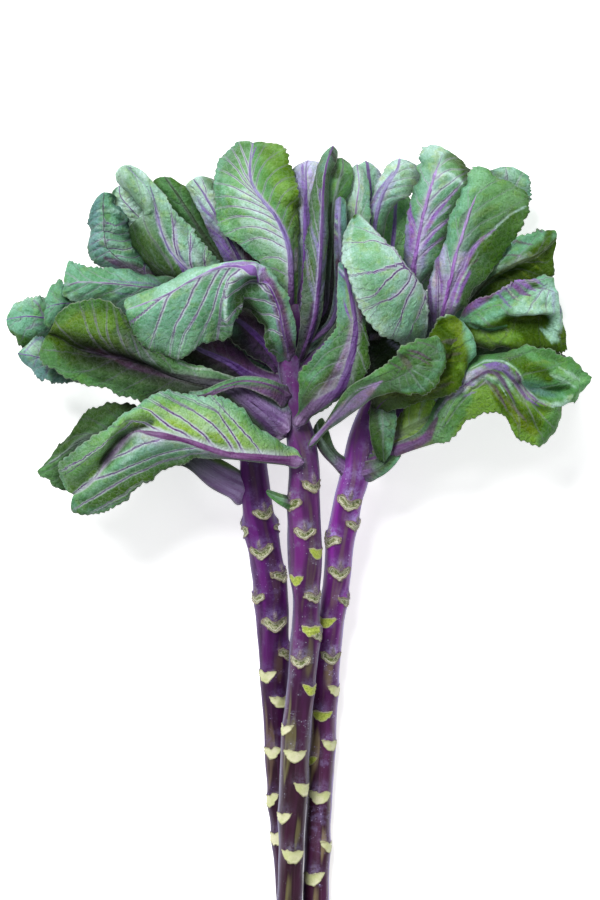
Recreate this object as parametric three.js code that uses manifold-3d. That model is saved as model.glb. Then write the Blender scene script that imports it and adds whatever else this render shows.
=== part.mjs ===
// Purple kale bunch: three cut flowering stalks with all their leaves, lying on a flat surface.
// Millimetres, +Z up. The stalks run along Y: cut ends towards -Y, leafy heads towards +Y.
import * as THREE from "three";
import { mergeVertices } from "three/addons/utils/BufferGeometryUtils.js";
import Module from "manifold-3d";

const wasm = await Module();
wasm.setup();

// ---- Driving dimensions, millimetres -------------------------------------------------------
const UNIT = 0.8; // real size of one drawing unit: outlines below are drawn in these units
const ORIGIN_COLUMN = 299; // drawing column that lies at X = 0
const ORIGIN_ROW = 536; // drawing row that lies at Y = 0
const BLADE = 1.0; // thickness of a leaf blade
const PETIOLE_DEPTH = 1.15; // depth of a leaf stalk at its base, as a share of its half width
const MIDRIB_BASE = 1.25; // half width of a midrib at its base, as a share of the base's own
const MIDRIB_TIP_HALF = 1.2; // half width of a midrib at the tip
const MIDRIB_TIP_DEPTH = 0.3; // depth of a midrib at the tip
const MIDRIB_BELOW = 0.6; // share of a midrib's depth that stands out of the underside
const OPENING = [0.12, 0.4]; // shares of a leaf's length where its stalk opens into the blade
const WAVES = 0.29; // waves along a margin, per step of the grid
const WAVE_LAG = 1.9; // how far the waves of the two margins are out of step, in radians
const STEEPEST = 2.2; // most that a steep blade is thickened, measured upright
const FIT_GAP = 0.3; // space between a leaf base and the stalk that it grows from
const LEAF_GAP = 0.8; // least space kept between one leaf and the next below it
const STEM_SIDES = 12; // facets round a stalk
const STEM_RINGS = 54; // rings along a stalk
const SCAR_HEIGHT = 2.2; // how far a leaf scar stands out of its stalk
const SCAR_WIDTH = 6.5; // half width of a scar round the stalk
const SCAR_LENGTH = 9; // half length of a scar along the stalk
const MAP_CELL = 2; // cell of the height maps that keep leaves apart
const MAP_HALF = 340; // the height maps reach this far each way
const PROBE = 0.7; // spacing of the points that probe a triangle, in map cells
const REST_SLOPE = 0.55; // steepest bend, rise over run, where a leaf is lifted over another
const BASE_SLOPE = 1.2; // how much steeper a leaf may bend beside its own stalk
const BASE_SHARE = 0.17; // share of a leaf's length, at its base, that may enter its own stalk

// ---- Colours --------------------------------------------------------------------------------
const COLOURS = {
  stem: { color: 0x6b2f66, roughness: 0.45 },
  leaf: { color: 0x76a07c, roughness: 0.55 },
};

// ---- Stalks: [column, row, height of the centre in mm, radius in drawing units] ------------
const STEMS = {
  stem_left: {
    path: [
      [289, 928, 9.9, 13], [289, 900, 9.9, 13], [287, 870, 9.9, 13], [284.5, 840, 9.9, 13],
      [280, 790, 10.1, 13], [277, 740, 11, 13], [275, 700, 14, 13.5], [273, 650, 20, 15],
      [271.5, 600, 27, 17], [266, 560, 34, 16.2], [258.5, 520, 42, 15.4], [254, 480, 51, 14.4],
      [252, 455, 56, 13], [250, 436, 58, 9],
    ],
    scars: [
      [264, 510], [244, 528], [280, 530], [260, 548], [281, 575], [257, 595], [275, 622],
      [266, 675], [280, 701], [287, 654], [272, 753], [270, 801], [276, 839],
    ],
  },
  stem_right: {
    path: [
      [317, 934, 10, 13.2], [316.5, 900, 10, 13.2], [317.5, 850, 10, 13], [319.5, 800, 10, 12.8],
      [323, 740, 12, 13], [324.5, 700, 16, 13], [327, 660, 22, 13], [333.5, 605, 30, 13],
      [337, 580, 34, 13.5], [341, 540, 41, 14], [348.5, 500, 48, 14], [354, 480, 51, 14.5],
      [361, 440, 57, 13], [370, 415, 62, 12], [379, 392, 66, 10], [384, 376, 68, 7],
    ],
    scars: [
      [372, 463], [350, 500], [355, 522], [330, 540], [340, 570], [346, 599], [326, 621],
      [332, 657], [336, 689], [322, 715], [331, 746], [311, 762], [320, 798], [328, 848], [312, 881],
    ],
  },
  stem_centre: {
    path: [
      [289, 922, 33.5, 12.5], [290, 900, 33.5, 12.5], [291.5, 850, 34, 12.5], [293, 800, 35, 14],
      [296, 740, 38, 14.5], [300, 700, 41, 14], [304.5, 650, 45, 14.5], [306.5, 600, 50, 13.5],
      [305, 560, 55, 17], [304, 500, 60, 16], [304.5, 470, 64, 15.5], [301, 440, 68, 14.5],
      [293.5, 400, 72, 10.5], [289, 355, 79, 12.5], [291, 325, 84, 11], [292, 304, 86, 7],
    ],
    scars: [
      [313, 483], [291, 502], [305, 531], [317, 552], [296, 577], [314, 595], [311, 629],
      [318, 634], [300, 661], [311, 688], [285, 730], [295, 755], [304, 788], [283, 819], [293, 857],
    ],
  },
};

// ---- Leaves, from the lowest layer to the highest -----------------------------------------
// Each has the stalk it grows from, its grid (steps along, lanes across), the height of the waves
// of its margin, the crown of its two halves, and three lines from base to tip: its left margin,
// its midrib and its right margin, as [column, row, height in mm].
const LEAVES = [
  {
    name: "leaf_under_left", stem: "stem_left", grid: [8, 4], ruffle: 1.5,
    left: [
      [252, 478, 43], [232, 446, 16], [190, 420, 6], [160, 385, 0.8], [150, 345, 0.8], [170, 315, 0.8],
    ],
    rib: [
      [256, 472, 44], [240, 430, 18], [215, 388, 7], [195, 355, 0.8], [182, 330, 0.8], [175, 312, 0.8],
    ],
    right: [
      [262, 466, 43], [268, 405, 18], [262, 365, 8], [240, 325, 0.8], [210, 310, 0.8], [180, 310, 0.8],
    ],
  },
  {
    name: "leaf_under_right", stem: "stem_right", grid: [8, 4], ruffle: 1.5,
    left: [
      [366, 452, 44], [405, 432, 16], [450, 405, 6], [478, 370, 0.8], [485, 335, 0.8], [480, 305, 0.8],
    ],
    rib: [
      [364, 446, 44], [390, 420, 18], [425, 385, 7], [450, 350, 0.8], [465, 320, 0.8], [470, 300, 0.8],
    ],
    right: [
      [362, 440, 44], [375, 410, 16], [392, 372, 6], [405, 340, 0.8], [425, 310, 0.8], [455, 298, 0.8],
    ],
  },
  {
    name: "leaf_under_middle", stem: "stem_centre", grid: [7, 4], ruffle: 1.5,
    left: [[286, 352, 68], [262, 312, 44], [250, 275, 24], [255, 240, 12], [285, 215, 8]],
    rib: [[290, 352, 68], [290, 310, 44], [295, 270, 24], [305, 235, 12], [318, 208, 8]],
    right: [[294, 352, 68], [320, 312, 44], [345, 275, 24], [355, 240, 12], [350, 215, 8]],
  },
  {
    name: "leaf_back_right", stem: "stem_right", grid: [7, 4], ruffle: 2.5,
    left: [
      [378, 399, 50], [440, 330, 24], [455, 270, 20], [470, 215, 26], [480, 180, 34], [490, 169, 36],
    ],
    rib: [[381, 396, 50], [445, 332, 24], [470, 270, 22], [495, 215, 30], [508, 185, 40], [507, 165, 38]],
    right: [
      [384, 393, 50], [450, 335, 24], [488, 270, 20], [520, 215, 28], [533, 190, 38], [527, 171, 38],
    ],
  },
  {
    name: "leaf_back_dark_right", stem: "stem_right", grid: [7, 4], ruffle: 2,
    left: [
      [380, 388, 54], [373, 325, 40], [374, 275, 42], [376, 235, 46], [380, 208, 48], [390, 195, 46],
    ],
    rib: [[384, 387, 54], [380, 325, 42], [388, 275, 46], [394, 235, 50], [396, 203, 52], [398, 190, 48]],
    right: [
      [388, 386, 54], [388, 325, 40], [402, 275, 42], [412, 235, 46], [414, 205, 48], [408, 194, 46],
    ],
  },
  {
    name: "leaf_back_pale_slip", stem: "stem_right", grid: [7, 4], ruffle: 2,
    left: [
      [374, 385, 56], [358, 310, 46], [358, 240, 50], [360, 195, 54], [356, 168, 54], [359, 164, 52],
    ],
    rib: [[378, 384, 56], [364, 310, 48], [366, 240, 54], [370, 195, 58], [368, 166, 58], [366, 160, 54]],
    right: [
      [382, 383, 56], [370, 310, 46], [376, 240, 50], [382, 195, 54], [381, 174, 54], [373, 163, 52],
    ],
  },
  {
    name: "leaf_back_dark_left", stem: "stem_centre", grid: [9, 4], ruffle: 2.5,
    left: [
      [283, 325, 74], [245, 302, 50], [215, 274, 38], [190, 245, 32], [165, 212, 30], [154, 190, 32],
      [152, 177, 34],
    ],
    rib: [
      [286, 322, 74], [250, 297, 52], [228, 268, 42], [208, 242, 38], [190, 214, 36], [176, 192, 38],
      [164, 175, 38],
    ],
    right: [
      [289, 318, 74], [256, 292, 50], [240, 262, 40], [224, 238, 34], [212, 212, 32], [198, 193, 34],
      [184, 182, 36],
    ],
  },
  {
    name: "leaf_left_pale_lobe", stem: "stem_centre", grid: [7, 4], ruffle: 2.5,
    left: [
      [282, 352, 72], [232, 302, 40], [162, 256, 22], [128, 224, 22], [114, 208, 26], [113, 197, 30],
      [113, 188, 32],
    ],
    rib: [
      [285, 348, 72], [236, 298, 41], [168, 248, 24], [144, 222, 28], [128, 205, 34], [120, 195, 34],
      [118, 184, 33],
    ],
    right: [
      [288, 344, 72], [240, 294, 40], [174, 240, 22], [160, 215, 26], [146, 205, 30], [138, 193, 32],
      [125, 183, 33],
    ],
  },
  {
    name: "leaf_left_round_tip", stem: "stem_left", grid: [8, 6], ruffle: 2.5,
    left: [
      [250, 452, 46], [190, 390, 36], [110, 352, 34], [66, 348, 38], [44, 343, 42], [24, 347, 42],
      [8, 332, 40],
    ],
    rib: [
      [252, 447, 46], [192, 384, 37], [110, 336, 38], [66, 322, 44], [42, 317, 50], [22, 316, 48],
      [5, 319, 42],
    ],
    right: [
      [254, 442, 46], [194, 378, 36], [110, 322, 34], [62, 303, 38], [44, 297, 44], [24, 299, 44],
      [10, 307, 40],
    ],
  },
  {
    name: "leaf_left_slip", stem: "stem_centre", grid: [7, 4], ruffle: 2,
    left: [
      [282, 378, 70], [220, 350, 46], [150, 330, 44], [105, 320, 48], [70, 320, 54], [55, 324, 56],
      [43, 329, 54],
    ],
    rib: [
      [284, 374, 70], [222, 345, 47], [152, 324, 46], [107, 308, 52], [72, 303, 58], [56, 304, 60],
      [45, 308, 56],
    ],
    right: [
      [286, 370, 70], [224, 340, 46], [154, 318, 44], [108, 298, 48], [72, 290, 54], [60, 281, 56],
      [48, 284, 54],
    ],
  },
  {
    name: "leaf_left_bluish_tip", stem: "stem_left", grid: [8, 6], ruffle: 3,
    left: [
      [248, 466, 52], [192, 416, 48], [140, 391, 50], [90, 384, 54], [60, 382, 58], [38, 376, 60],
      [20, 360, 58],
    ],
    rib: [
      [250, 461, 52], [194, 411, 49], [142, 387, 52], [92, 374, 60], [60, 364, 66], [38, 357, 66],
      [17, 353, 59],
    ],
    right: [
      [252, 456, 52], [196, 406, 48], [144, 376, 50], [94, 358, 56], [62, 342, 62], [40, 335, 62],
      [25, 345, 58],
    ],
  },
  { name: "stem_left" },
  { name: "stem_right" },
  {
    name: "leaf_right_low_dark", stem: "stem_right", grid: [8, 4], ruffle: 2.5,
    left: [
      [369, 446, 56], [430, 422, 50], [470, 411, 54], [510, 404, 58], [540, 397, 56], [560, 386, 52],
    ],
    rib: [[368, 441, 56], [432, 407, 52], [472, 380, 60], [512, 372, 66], [545, 372, 62], [566, 370, 54]],
    right: [
      [367, 436, 56], [434, 394, 50], [474, 355, 56], [514, 346, 60], [550, 350, 58], [570, 357, 52],
    ],
  },
  {
    name: "leaf_left_ruffled", stem: "stem_centre", grid: [12, 6], ruffle: 4,
    left: [
      [284, 344, 78], [240, 322, 54], [198, 304, 44], [160, 291, 38], [125, 273, 34], [96, 262, 32],
      [86, 245, 34], [87, 222, 38], [91, 205, 44], [97, 195, 46],
    ],
    rib: [
      [286, 340, 78], [242, 317, 56], [200, 298, 46], [160, 285, 42], [130, 266, 40], [110, 252, 40],
      [104, 238, 44], [103, 222, 46], [102, 206, 46], [103, 191, 46],
    ],
    right: [
      [288, 336, 78], [244, 312, 54], [202, 292, 44], [163, 279, 38], [157, 268, 34], [152, 262, 28],
      [131, 236, 28], [123, 216, 28], [115, 200, 34], [109, 192, 42],
    ],
  },
  {
    name: "leaf_left_rolled", stem: "stem_centre", grid: [13, 6], ruffle: 1.5, bulge: [6, 2],
    left: [
      [283, 332, 78], [240, 310, 56], [205, 292, 48], [180, 282, 42], [157, 275, 36], [138, 251, 34],
      [129, 226, 36], [144, 212, 47], [128, 191, 51], [112, 173, 52],
    ],
    rib: [
      [286, 328, 78], [244, 304, 58], [214, 284, 54], [190, 272, 54], [172, 255, 54], [163, 236, 54],
      [157, 214, 56], [152, 201, 58], [144, 184, 60], [125, 164, 56],
    ],
    right: [
      [289, 324, 78], [248, 298, 56], [226, 274, 54], [216, 257, 54], [203, 241, 56], [190, 226, 58],
      [173, 206, 60], [164, 194, 61], [155, 184, 62], [140, 168, 58],
    ],
  },
  {
    name: "leaf_purple_rolled", stem: "stem_centre", grid: [9, 6], ruffle: 1.5, bulge: [2, 4],
    left: [
      [285, 318, 80], [258, 300, 60], [232, 272, 54], [216, 245, 52], [203, 220, 52], [191, 195, 54],
      [184, 184, 54],
    ],
    rib: [
      [287, 314, 80], [263, 294, 62], [244, 266, 58], [230, 240, 58], [216, 214, 58], [203, 192, 58],
      [193, 178, 56],
    ],
    right: [
      [290, 310, 80], [269, 288, 60], [264, 262, 52], [260, 242, 46], [242, 213, 44], [225, 190, 46],
      [204, 173, 50],
    ],
  },
  {
    name: "leaf_left_horizontal", stem: "stem_centre", grid: [10, 6], ruffle: 3,
    left: [
      [284, 364, 80], [250, 338, 66], [212, 322, 62], [170, 314, 64], [130, 316, 66], [100, 308, 66],
      [76, 302, 64], [60, 296, 60],
    ],
    rib: [
      [286, 360, 80], [253, 332, 68], [216, 310, 65], [172, 291, 70], [135, 286, 76], [105, 283, 78],
      [80, 282, 74], [64, 286, 66],
    ],
    right: [
      [289, 355, 80], [256, 326, 66], [220, 302, 62], [176, 284, 66], [142, 273, 66], [108, 269, 66],
      [84, 266, 64], [67, 259, 60],
    ],
  },
  {
    name: "leaf_left_inner", stem: "stem_centre", grid: [8, 4], ruffle: 2,
    left: [
      [283, 394, 80], [248, 384, 72], [222, 380, 74], [195, 379, 76], [178, 373, 76], [166, 360, 76],
    ],
    rib: [[285, 389, 80], [252, 377, 73], [228, 362, 77], [205, 352, 81], [190, 345, 82], [175, 340, 78]],
    right: [
      [288, 384, 80], [256, 369, 72], [240, 350, 74], [225, 335, 76], [206, 326, 78], [187, 326, 76],
    ],
  },
  {
    name: "leaf_left_inner_dark", stem: "stem_centre", grid: [7, 4], ruffle: 2,
    left: [[283, 376, 79], [262, 362, 78], [240, 348, 82], [222, 330, 86], [210, 318, 86]],
    rib: [[285, 371, 80], [268, 348, 80], [250, 330, 86], [232, 316, 90], [216, 308, 87]],
    right: [[288, 366, 79], [276, 336, 78], [260, 316, 80], [240, 305, 84], [222, 302, 84]],
  },
  {
    name: "leaf_right_round_pale", stem: "stem_right", grid: [9, 6], ruffle: 2.5,
    left: [
      [374, 381, 60], [364, 330, 60], [364, 280, 66], [366, 240, 72], [369, 212, 74], [376, 188, 72],
      [386, 168, 68], [393, 160, 64],
    ],
    rib: [
      [378, 380, 60], [370, 330, 62], [371, 280, 70], [373, 240, 78], [378, 208, 82], [387, 186, 82],
      [397, 170, 76], [400, 158, 66],
    ],
    right: [
      [382, 379, 60], [377, 330, 60], [380, 280, 67], [383, 240, 73], [390, 208, 76], [410, 188, 74],
      [420, 172, 68], [409, 160, 64],
    ],
  },
  {
    name: "leaf_right_pale_upright", stem: "stem_centre", grid: [8, 4], ruffle: 2.5,
    left: [
      [297, 360, 72], [328, 328, 66], [345, 285, 72], [344, 245, 78], [343, 212, 80], [348, 185, 76],
      [352, 167, 72],
    ],
    rib: [
      [299, 364, 72], [334, 331, 68], [354, 283, 78], [356, 243, 86], [356, 210, 88], [359, 185, 84],
      [357, 164, 74],
    ],
    right: [
      [301, 368, 72], [340, 334, 66], [364, 281, 72], [368, 243, 78], [370, 212, 80], [369, 185, 76],
      [362, 167, 72],
    ],
  },
  {
    name: "leaf_right_folded", stem: "stem_right", grid: [9, 6], ruffle: 3,
    left: [
      [379, 418, 62], [412, 384, 58], [440, 350, 58], [470, 312, 64], [492, 296, 72], [520, 284, 76],
      [547, 278, 74], [556, 250, 68],
    ],
    rib: [
      [378, 414, 62], [409, 380, 59], [444, 344, 62], [472, 300, 70], [490, 280, 78], [515, 265, 84],
      [538, 255, 82], [557, 238, 72],
    ],
    right: [
      [377, 410, 62], [406, 376, 58], [448, 338, 60], [474, 288, 66], [488, 266, 74], [508, 248, 78],
      [530, 233, 76], [558, 229, 68],
    ],
  },
  {
    name: "leaf_inner_right", stem: "stem_right", grid: [7, 4], ruffle: 2,
    left: [[372, 412, 64], [350, 385, 64], [345, 355, 68], [352, 328, 72], [362, 308, 70]],
    rib: [[375, 408, 64], [362, 380, 67], [366, 350, 72], [370, 320, 76], [375, 300, 72]],
    right: [[378, 404, 64], [375, 376, 64], [392, 350, 68], [395, 320, 72], [388, 302, 70]],
  },
  {
    name: "leaf_purple_ribbed", stem: "stem_right", grid: [10, 6], ruffle: 2.5,
    left: [
      [380, 396, 66], [398, 330, 68], [402, 285, 78], [404, 250, 84], [409, 215, 86], [419, 183, 84],
      [423, 155, 78], [432, 142, 72],
    ],
    rib: [
      [383, 398, 66], [404, 332, 70], [411, 283, 84], [416, 252, 94], [422, 218, 98], [429, 190, 98],
      [438, 165, 88], [445, 149, 76],
    ],
    right: [
      [386, 400, 66], [410, 334, 68], [430, 284, 78], [446, 246, 84], [458, 215, 86], [469, 188, 84],
      [468, 166, 76], [456, 155, 72],
    ],
  },
  {
    name: "leaf_right_big", stem: "stem_right", grid: [12, 6], ruffle: 3,
    left: [
      [381, 403, 64], [410, 362, 66], [424, 325, 78], [426, 288, 88], [440, 248, 92], [453, 210, 90],
      [464, 182, 84], [476, 168, 76],
    ],
    rib: [
      [382, 408, 64], [420, 357, 70], [440, 320, 86], [449, 285, 98], [457, 250, 104], [468, 215, 104],
      [480, 190, 96], [497, 178, 84],
    ],
    right: [
      [383, 412, 64], [428, 352, 66], [458, 315, 80], [474, 292, 86], [496, 256, 84], [516, 226, 80],
      [531, 204, 74], [527, 191, 74],
    ],
  },
  {
    name: "leaf_right_arched", stem: "stem_right", grid: [11, 6], ruffle: 3,
    left: [
      [377, 426, 62], [410, 398, 60], [436, 372, 64], [458, 340, 76], [480, 345, 84], [508, 349, 88],
      [535, 351, 88], [560, 354, 84], [566, 351, 78],
    ],
    rib: [
      [376, 421, 62], [408, 393, 61], [438, 366, 66], [460, 328, 82], [480, 318, 94], [505, 312, 102],
      [530, 305, 104], [550, 303, 98], [562, 320, 84],
    ],
    right: [
      [375, 416, 62], [406, 388, 60], [440, 360, 64], [461, 318, 78], [478, 304, 90], [502, 296, 96],
      [522, 285, 98], [545, 279, 94], [559, 296, 84],
    ],
  },
  {
    name: "leaf_centre_back_purple", stem: "stem_centre", grid: [8, 4], ruffle: 1.5,
    left: [
      [294, 306, 84], [298, 270, 76], [298, 225, 74], [295, 195, 74], [292, 172, 70], [298, 164, 68],
    ],
    rib: [[297, 310, 84], [304, 270, 78], [305, 222, 78], [306, 192, 80], [306, 168, 76], [308, 160, 70]],
    right: [
      [299, 314, 84], [310, 270, 76], [313, 222, 74], [318, 192, 74], [322, 168, 70], [318, 161, 68],
    ],
  },
  {
    name: "leaf_centre_dark_curled", stem: "stem_centre", grid: [9, 4], ruffle: 1.5,
    left: [
      [297, 328, 84], [318, 310, 84], [322, 280, 86], [324, 245, 88], [325, 210, 88], [328, 182, 86],
      [333, 165, 82], [335, 158, 78],
    ],
    rib: [
      [299, 332, 84], [324, 312, 86], [328, 280, 90], [331, 245, 94], [333, 210, 96], [338, 184, 96],
      [343, 168, 90], [342, 158, 80],
    ],
    right: [
      [301, 336, 84], [330, 314, 84], [336, 280, 86], [340, 245, 88], [343, 208, 88], [350, 188, 86],
      [353, 172, 82], [350, 163, 78],
    ],
  },
  {
    name: "leaf_between_stems", stem: "stem_right", grid: [6, 4], ruffle: 1,
    left: [[348, 478, 60], [328, 461, 62], [317, 446, 62], [312, 430, 58]],
    rib: [[349, 472, 61], [331, 455, 63], [320, 437, 63], [317, 422, 58]],
    right: [[350, 466, 60], [335, 448, 62], [328, 428, 62], [322, 416, 58]],
  },
  { name: "stem_centre" },
  {
    name: "leaf_top_fan", stem: "stem_centre", grid: [12, 6], ruffle: 3,
    left: [
      [285, 322, 86], [275, 281, 90], [244, 249, 80], [219, 228, 70], [213, 200, 62], [216, 172, 54],
      [225, 149, 46], [244, 138, 42],
    ],
    rib: [
      [290, 322, 87], [291, 281, 94], [289, 248, 94], [278, 220, 90], [264, 202, 84], [252, 183, 76],
      [250, 162, 66], [253, 142, 52],
    ],
    right: [
      [295, 322, 86], [298, 281, 90], [298, 250, 86], [300, 222, 82], [299, 195, 76], [294, 172, 68],
      [284, 149, 60], [263, 139, 52],
    ],
  },
  {
    name: "leaf_centre_crinkled", stem: "stem_centre", grid: [8, 4], ruffle: 1,
    left: [
      [297, 344, 90], [326, 322, 98], [334, 290, 100], [334, 262, 102], [334, 228, 102],
      [335, 200, 96],
    ],
    rib: [
      [299, 348, 90], [330, 325, 99], [340, 290, 103], [341, 262, 105], [339, 228, 105],
      [340, 197, 98],
    ],
    right: [
      [301, 352, 90], [334, 328, 98], [348, 290, 100], [351, 258, 101], [347, 226, 101],
      [346, 200, 96],
    ],
  },
  {
    name: "leaf_centre_folded", stem: "stem_centre", grid: [11, 4], ruffle: 1,
    left: [
      [294, 366, 82], [300, 325, 104], [301, 290, 108], [305, 255, 108], [310, 222, 104],
      [313, 188, 98], [320, 160, 90], [328, 149, 84],
    ],
    rib: [
      [298, 364, 83], [313, 322, 107], [318, 290, 114], [321, 250, 118], [322, 215, 118],
      [324, 180, 112], [328, 160, 100], [333, 146, 86],
    ],
    right: [
      [302, 362, 82], [320, 322, 104], [324, 290, 109], [327, 250, 109], [328, 215, 106],
      [329, 180, 102], [333, 162, 94], [336, 149, 84],
    ],
  },
  {
    name: "leaf_left_low_behind", stem: "stem_left", grid: [11, 6], ruffle: 2.5,
    left: [
      [247, 500, 52], [215, 484, 60], [182, 464, 68], [140, 472, 72], [105, 490, 74], [76, 492, 74],
      [45, 480, 72], [36, 471, 70],
    ],
    rib: [
      [251, 494, 54], [220, 478, 62], [184, 456, 70], [146, 440, 78], [112, 435, 82], [82, 440, 82],
      [58, 458, 76], [42, 467, 70],
    ],
    right: [
      [255, 487, 52], [224, 469, 60], [190, 446, 68], [152, 415, 74], [118, 404, 76], [88, 411, 76],
      [69, 436, 74], [52, 457, 70],
    ],
  },
  {
    name: "leaf_left_cupped", stem: "stem_centre", grid: [12, 6], ruffle: 2.5,
    left: [
      [284, 436, 73], [256, 419, 84], [222, 409, 88], [185, 404, 92], [150, 404, 94], [125, 397, 94],
      [98, 386, 92], [68, 379, 88], [42, 360, 84], [42, 343, 82],
    ],
    rib: [
      [288, 430, 74], [262, 409, 88], [230, 388, 92], [195, 381, 96], [162, 372, 98], [130, 361, 98],
      [100, 356, 96], [75, 349, 94], [58, 338, 90], [48, 334, 86],
    ],
    right: [
      [292, 424, 73], [267, 400, 86], [236, 380, 90], [205, 368, 94], [170, 357, 102], [140, 340, 108],
      [118, 306, 112], [88, 299, 110], [60, 312, 102], [54, 325, 92],
    ],
  },
  {
    name: "stalk_left_cut", stem: "stem_centre", grid: [9, 2], ruffle: 0,
    left: [
      [289, 401, 76], [268, 390, 98], [244, 386, 103], [224, 391, 106], [204, 400, 108],
      [190, 401, 108],
    ],
    rib: [
      [290, 396, 77], [270, 385, 98], [245, 381, 103], [224, 386, 106], [204, 395, 108],
      [188, 396, 108],
    ],
    right: [
      [291, 391, 76], [272, 380, 98], [246, 376, 103], [224, 381, 106], [203, 390, 108],
      [189, 391, 108],
    ],
  },
  {
    name: "leaf_arching_left", stem: "stem_centre", grid: [12, 6], ruffle: 3,
    left: [
      [284, 362, 83], [268, 350, 102], [256, 324, 110], [237, 316, 118], [232, 334, 114],
      [205, 346, 108], [178, 359, 102], [148, 351, 98], [127, 322, 102],
    ],
    rib: [
      [289, 360, 84], [283, 332, 110], [277, 303, 124], [264, 281, 136], [240, 268, 140],
      [216, 270, 138], [191, 282, 132], [164, 297, 122], [138, 311, 110],
    ],
    right: [
      [294, 358, 83], [296, 332, 106], [290, 305, 118], [281, 284, 125], [258, 266, 130],
      [226, 262, 130], [194, 270, 123], [162, 285, 114], [121, 301, 106],
    ],
  },
  {
    name: "leaf_bud", stem: "stem_centre", grid: [5, 2], ruffle: 0,
    left: [[294, 509, 66], [280, 505, 72], [268, 496, 70]],
    rib: [[292, 504, 67], [280, 499, 73], [266, 492, 70]],
    right: [[290, 500, 66], [281, 494, 72], [267, 489, 70]],
  },
  {
    name: "leaf_left_low_front", stem: "stem_centre", grid: [13, 6], ruffle: 2,
    left: [
      [303, 457, 74], [262, 431, 104], [232, 401, 116], [196, 397, 122], [160, 393, 124],
      [125, 416, 124], [95, 437, 120], [62, 458, 114], [63, 490, 104],
    ],
    rib: [
      [302, 462, 75], [262, 458, 106], [225, 454, 118], [192, 443, 128], [160, 435, 132],
      [133, 434, 126], [112, 457, 112], [92, 482, 102], [75, 494, 96],
    ],
    right: [
      [301, 467, 74], [264, 463, 102], [228, 459, 112], [204, 459, 116], [182, 463, 116],
      [152, 480, 114], [125, 500, 108], [100, 515, 100], [67, 512, 92],
    ],
  },
  {
    name: "leaf_centre_inner", stem: "stem_centre", grid: [7, 4], ruffle: 1.5,
    left: [[296, 378, 83], [318, 357, 102], [338, 345, 106], [352, 330, 108], [368, 320, 104]],
    rib: [[298, 374, 84], [321, 350, 103], [342, 332, 108], [358, 312, 111], [374, 300, 105]],
    right: [[300, 370, 83], [323, 344, 101], [344, 320, 105], [362, 300, 107], [378, 288, 104]],
  },
  {
    name: "leaf_centre_front", stem: "stem_centre", grid: [11, 6], ruffle: 1.5,
    left: [
      [292, 421, 76], [302, 395, 108], [310, 368, 124], [324, 345, 132], [336, 325, 134],
      [337, 290, 130], [338, 262, 124],
    ],
    rib: [
      [297, 424, 77], [314, 400, 111], [331, 378, 126], [345, 350, 134], [352, 322, 136],
      [350, 292, 132], [346, 262, 125],
    ],
    right: [
      [304, 428, 76], [329, 407, 106], [353, 391, 118], [368, 370, 126], [367, 338, 128],
      [360, 300, 126], [353, 266, 122],
    ],
  },
  {
    name: "leaf_front_pale", stem: "stem_right", grid: [12, 6], ruffle: 2.5,
    left: [
      [379, 410, 67], [392, 388, 74], [400, 362, 84], [406, 347, 94], [384, 337, 104], [361, 315, 112],
      [353, 290, 116], [344, 264, 116], [344, 238, 110], [350, 221, 102],
    ],
    rib: [
      [381, 406, 68], [396, 382, 76], [408, 358, 88], [418, 340, 98], [410, 320, 110], [394, 300, 120],
      [380, 275, 126], [368, 252, 124], [358, 232, 116], [354, 216, 104],
    ],
    right: [
      [383, 402, 67], [400, 376, 75], [416, 354, 86], [426, 332, 98], [426, 308, 108], [424, 287, 116],
      [410, 270, 122], [391, 250, 122], [374, 230, 116], [358, 213, 106],
    ],
  },
  {
    name: "leaf_right_stem_small", stem: "stem_right", grid: [6, 4], ruffle: 1,
    left: [[362, 480, 64], [380, 477, 72], [394, 466, 76], [402, 455, 76]],
    rib: [[360, 474, 66], [378, 468, 74], [390, 459, 78], [400, 450, 76]],
    right: [[358, 468, 64], [376, 459, 72], [386, 450, 76], [397, 445, 76]],
  },
  {
    name: "leaf_right_yellow", stem: "stem_right", grid: [7, 4], ruffle: 2,
    left: [[366, 452, 58], [402, 447, 76], [424, 442, 84], [436, 432, 86], [442, 420, 84]],
    rib: [[365, 446, 59], [400, 434, 78], [418, 424, 88], [432, 416, 88], [440, 410, 84]],
    right: [[364, 440, 58], [395, 420, 76], [408, 404, 84], [425, 398, 86], [436, 400, 84]],
  },
  {
    name: "leaf_right_low", stem: "stem_right", grid: [14, 6], ruffle: 2.5,
    left: [
      [363, 474, 58], [398, 456, 78], [432, 444, 90], [446, 440, 98], [466, 420, 104], [486, 412, 106],
      [504, 414, 104], [518, 437, 98], [538, 446, 92], [558, 420, 88], [567, 404, 86],
    ],
    rib: [
      [362, 468, 59], [396, 450, 80], [422, 439, 92], [438, 424, 104], [452, 398, 114],
      [474, 374, 120], [498, 366, 120], [518, 380, 114], [532, 398, 106], [550, 404, 98],
      [566, 400, 90],
    ],
    right: [
      [361, 462, 58], [393, 444, 78], [418, 432, 90], [434, 412, 100], [446, 384, 108],
      [470, 362, 112], [505, 352, 112], [536, 350, 106], [565, 357, 98], [592, 377, 88],
      [580, 388, 86],
    ],
  },
  {
    name: "leaf_right_hanging", stem: "stem_right", grid: [6, 4], ruffle: 1.5,
    left: [[374, 392, 68], [369, 415, 92], [371, 440, 88], [377, 459, 78]],
    rib: [[380, 392, 69], [382, 415, 95], [383, 440, 92], [384, 462, 80]],
    right: [[386, 392, 68], [396, 415, 92], [394, 440, 88], [390, 455, 78]],
  },
  {
    name: "leaf_centre_right_curl", stem: "stem_right", grid: [9, 6], ruffle: 2.5,
    left: [
      [374, 430, 64], [387, 413, 92], [407, 407, 106], [434, 400, 116], [457, 389, 120],
      [470, 362, 116], [471, 336, 108],
    ],
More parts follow.
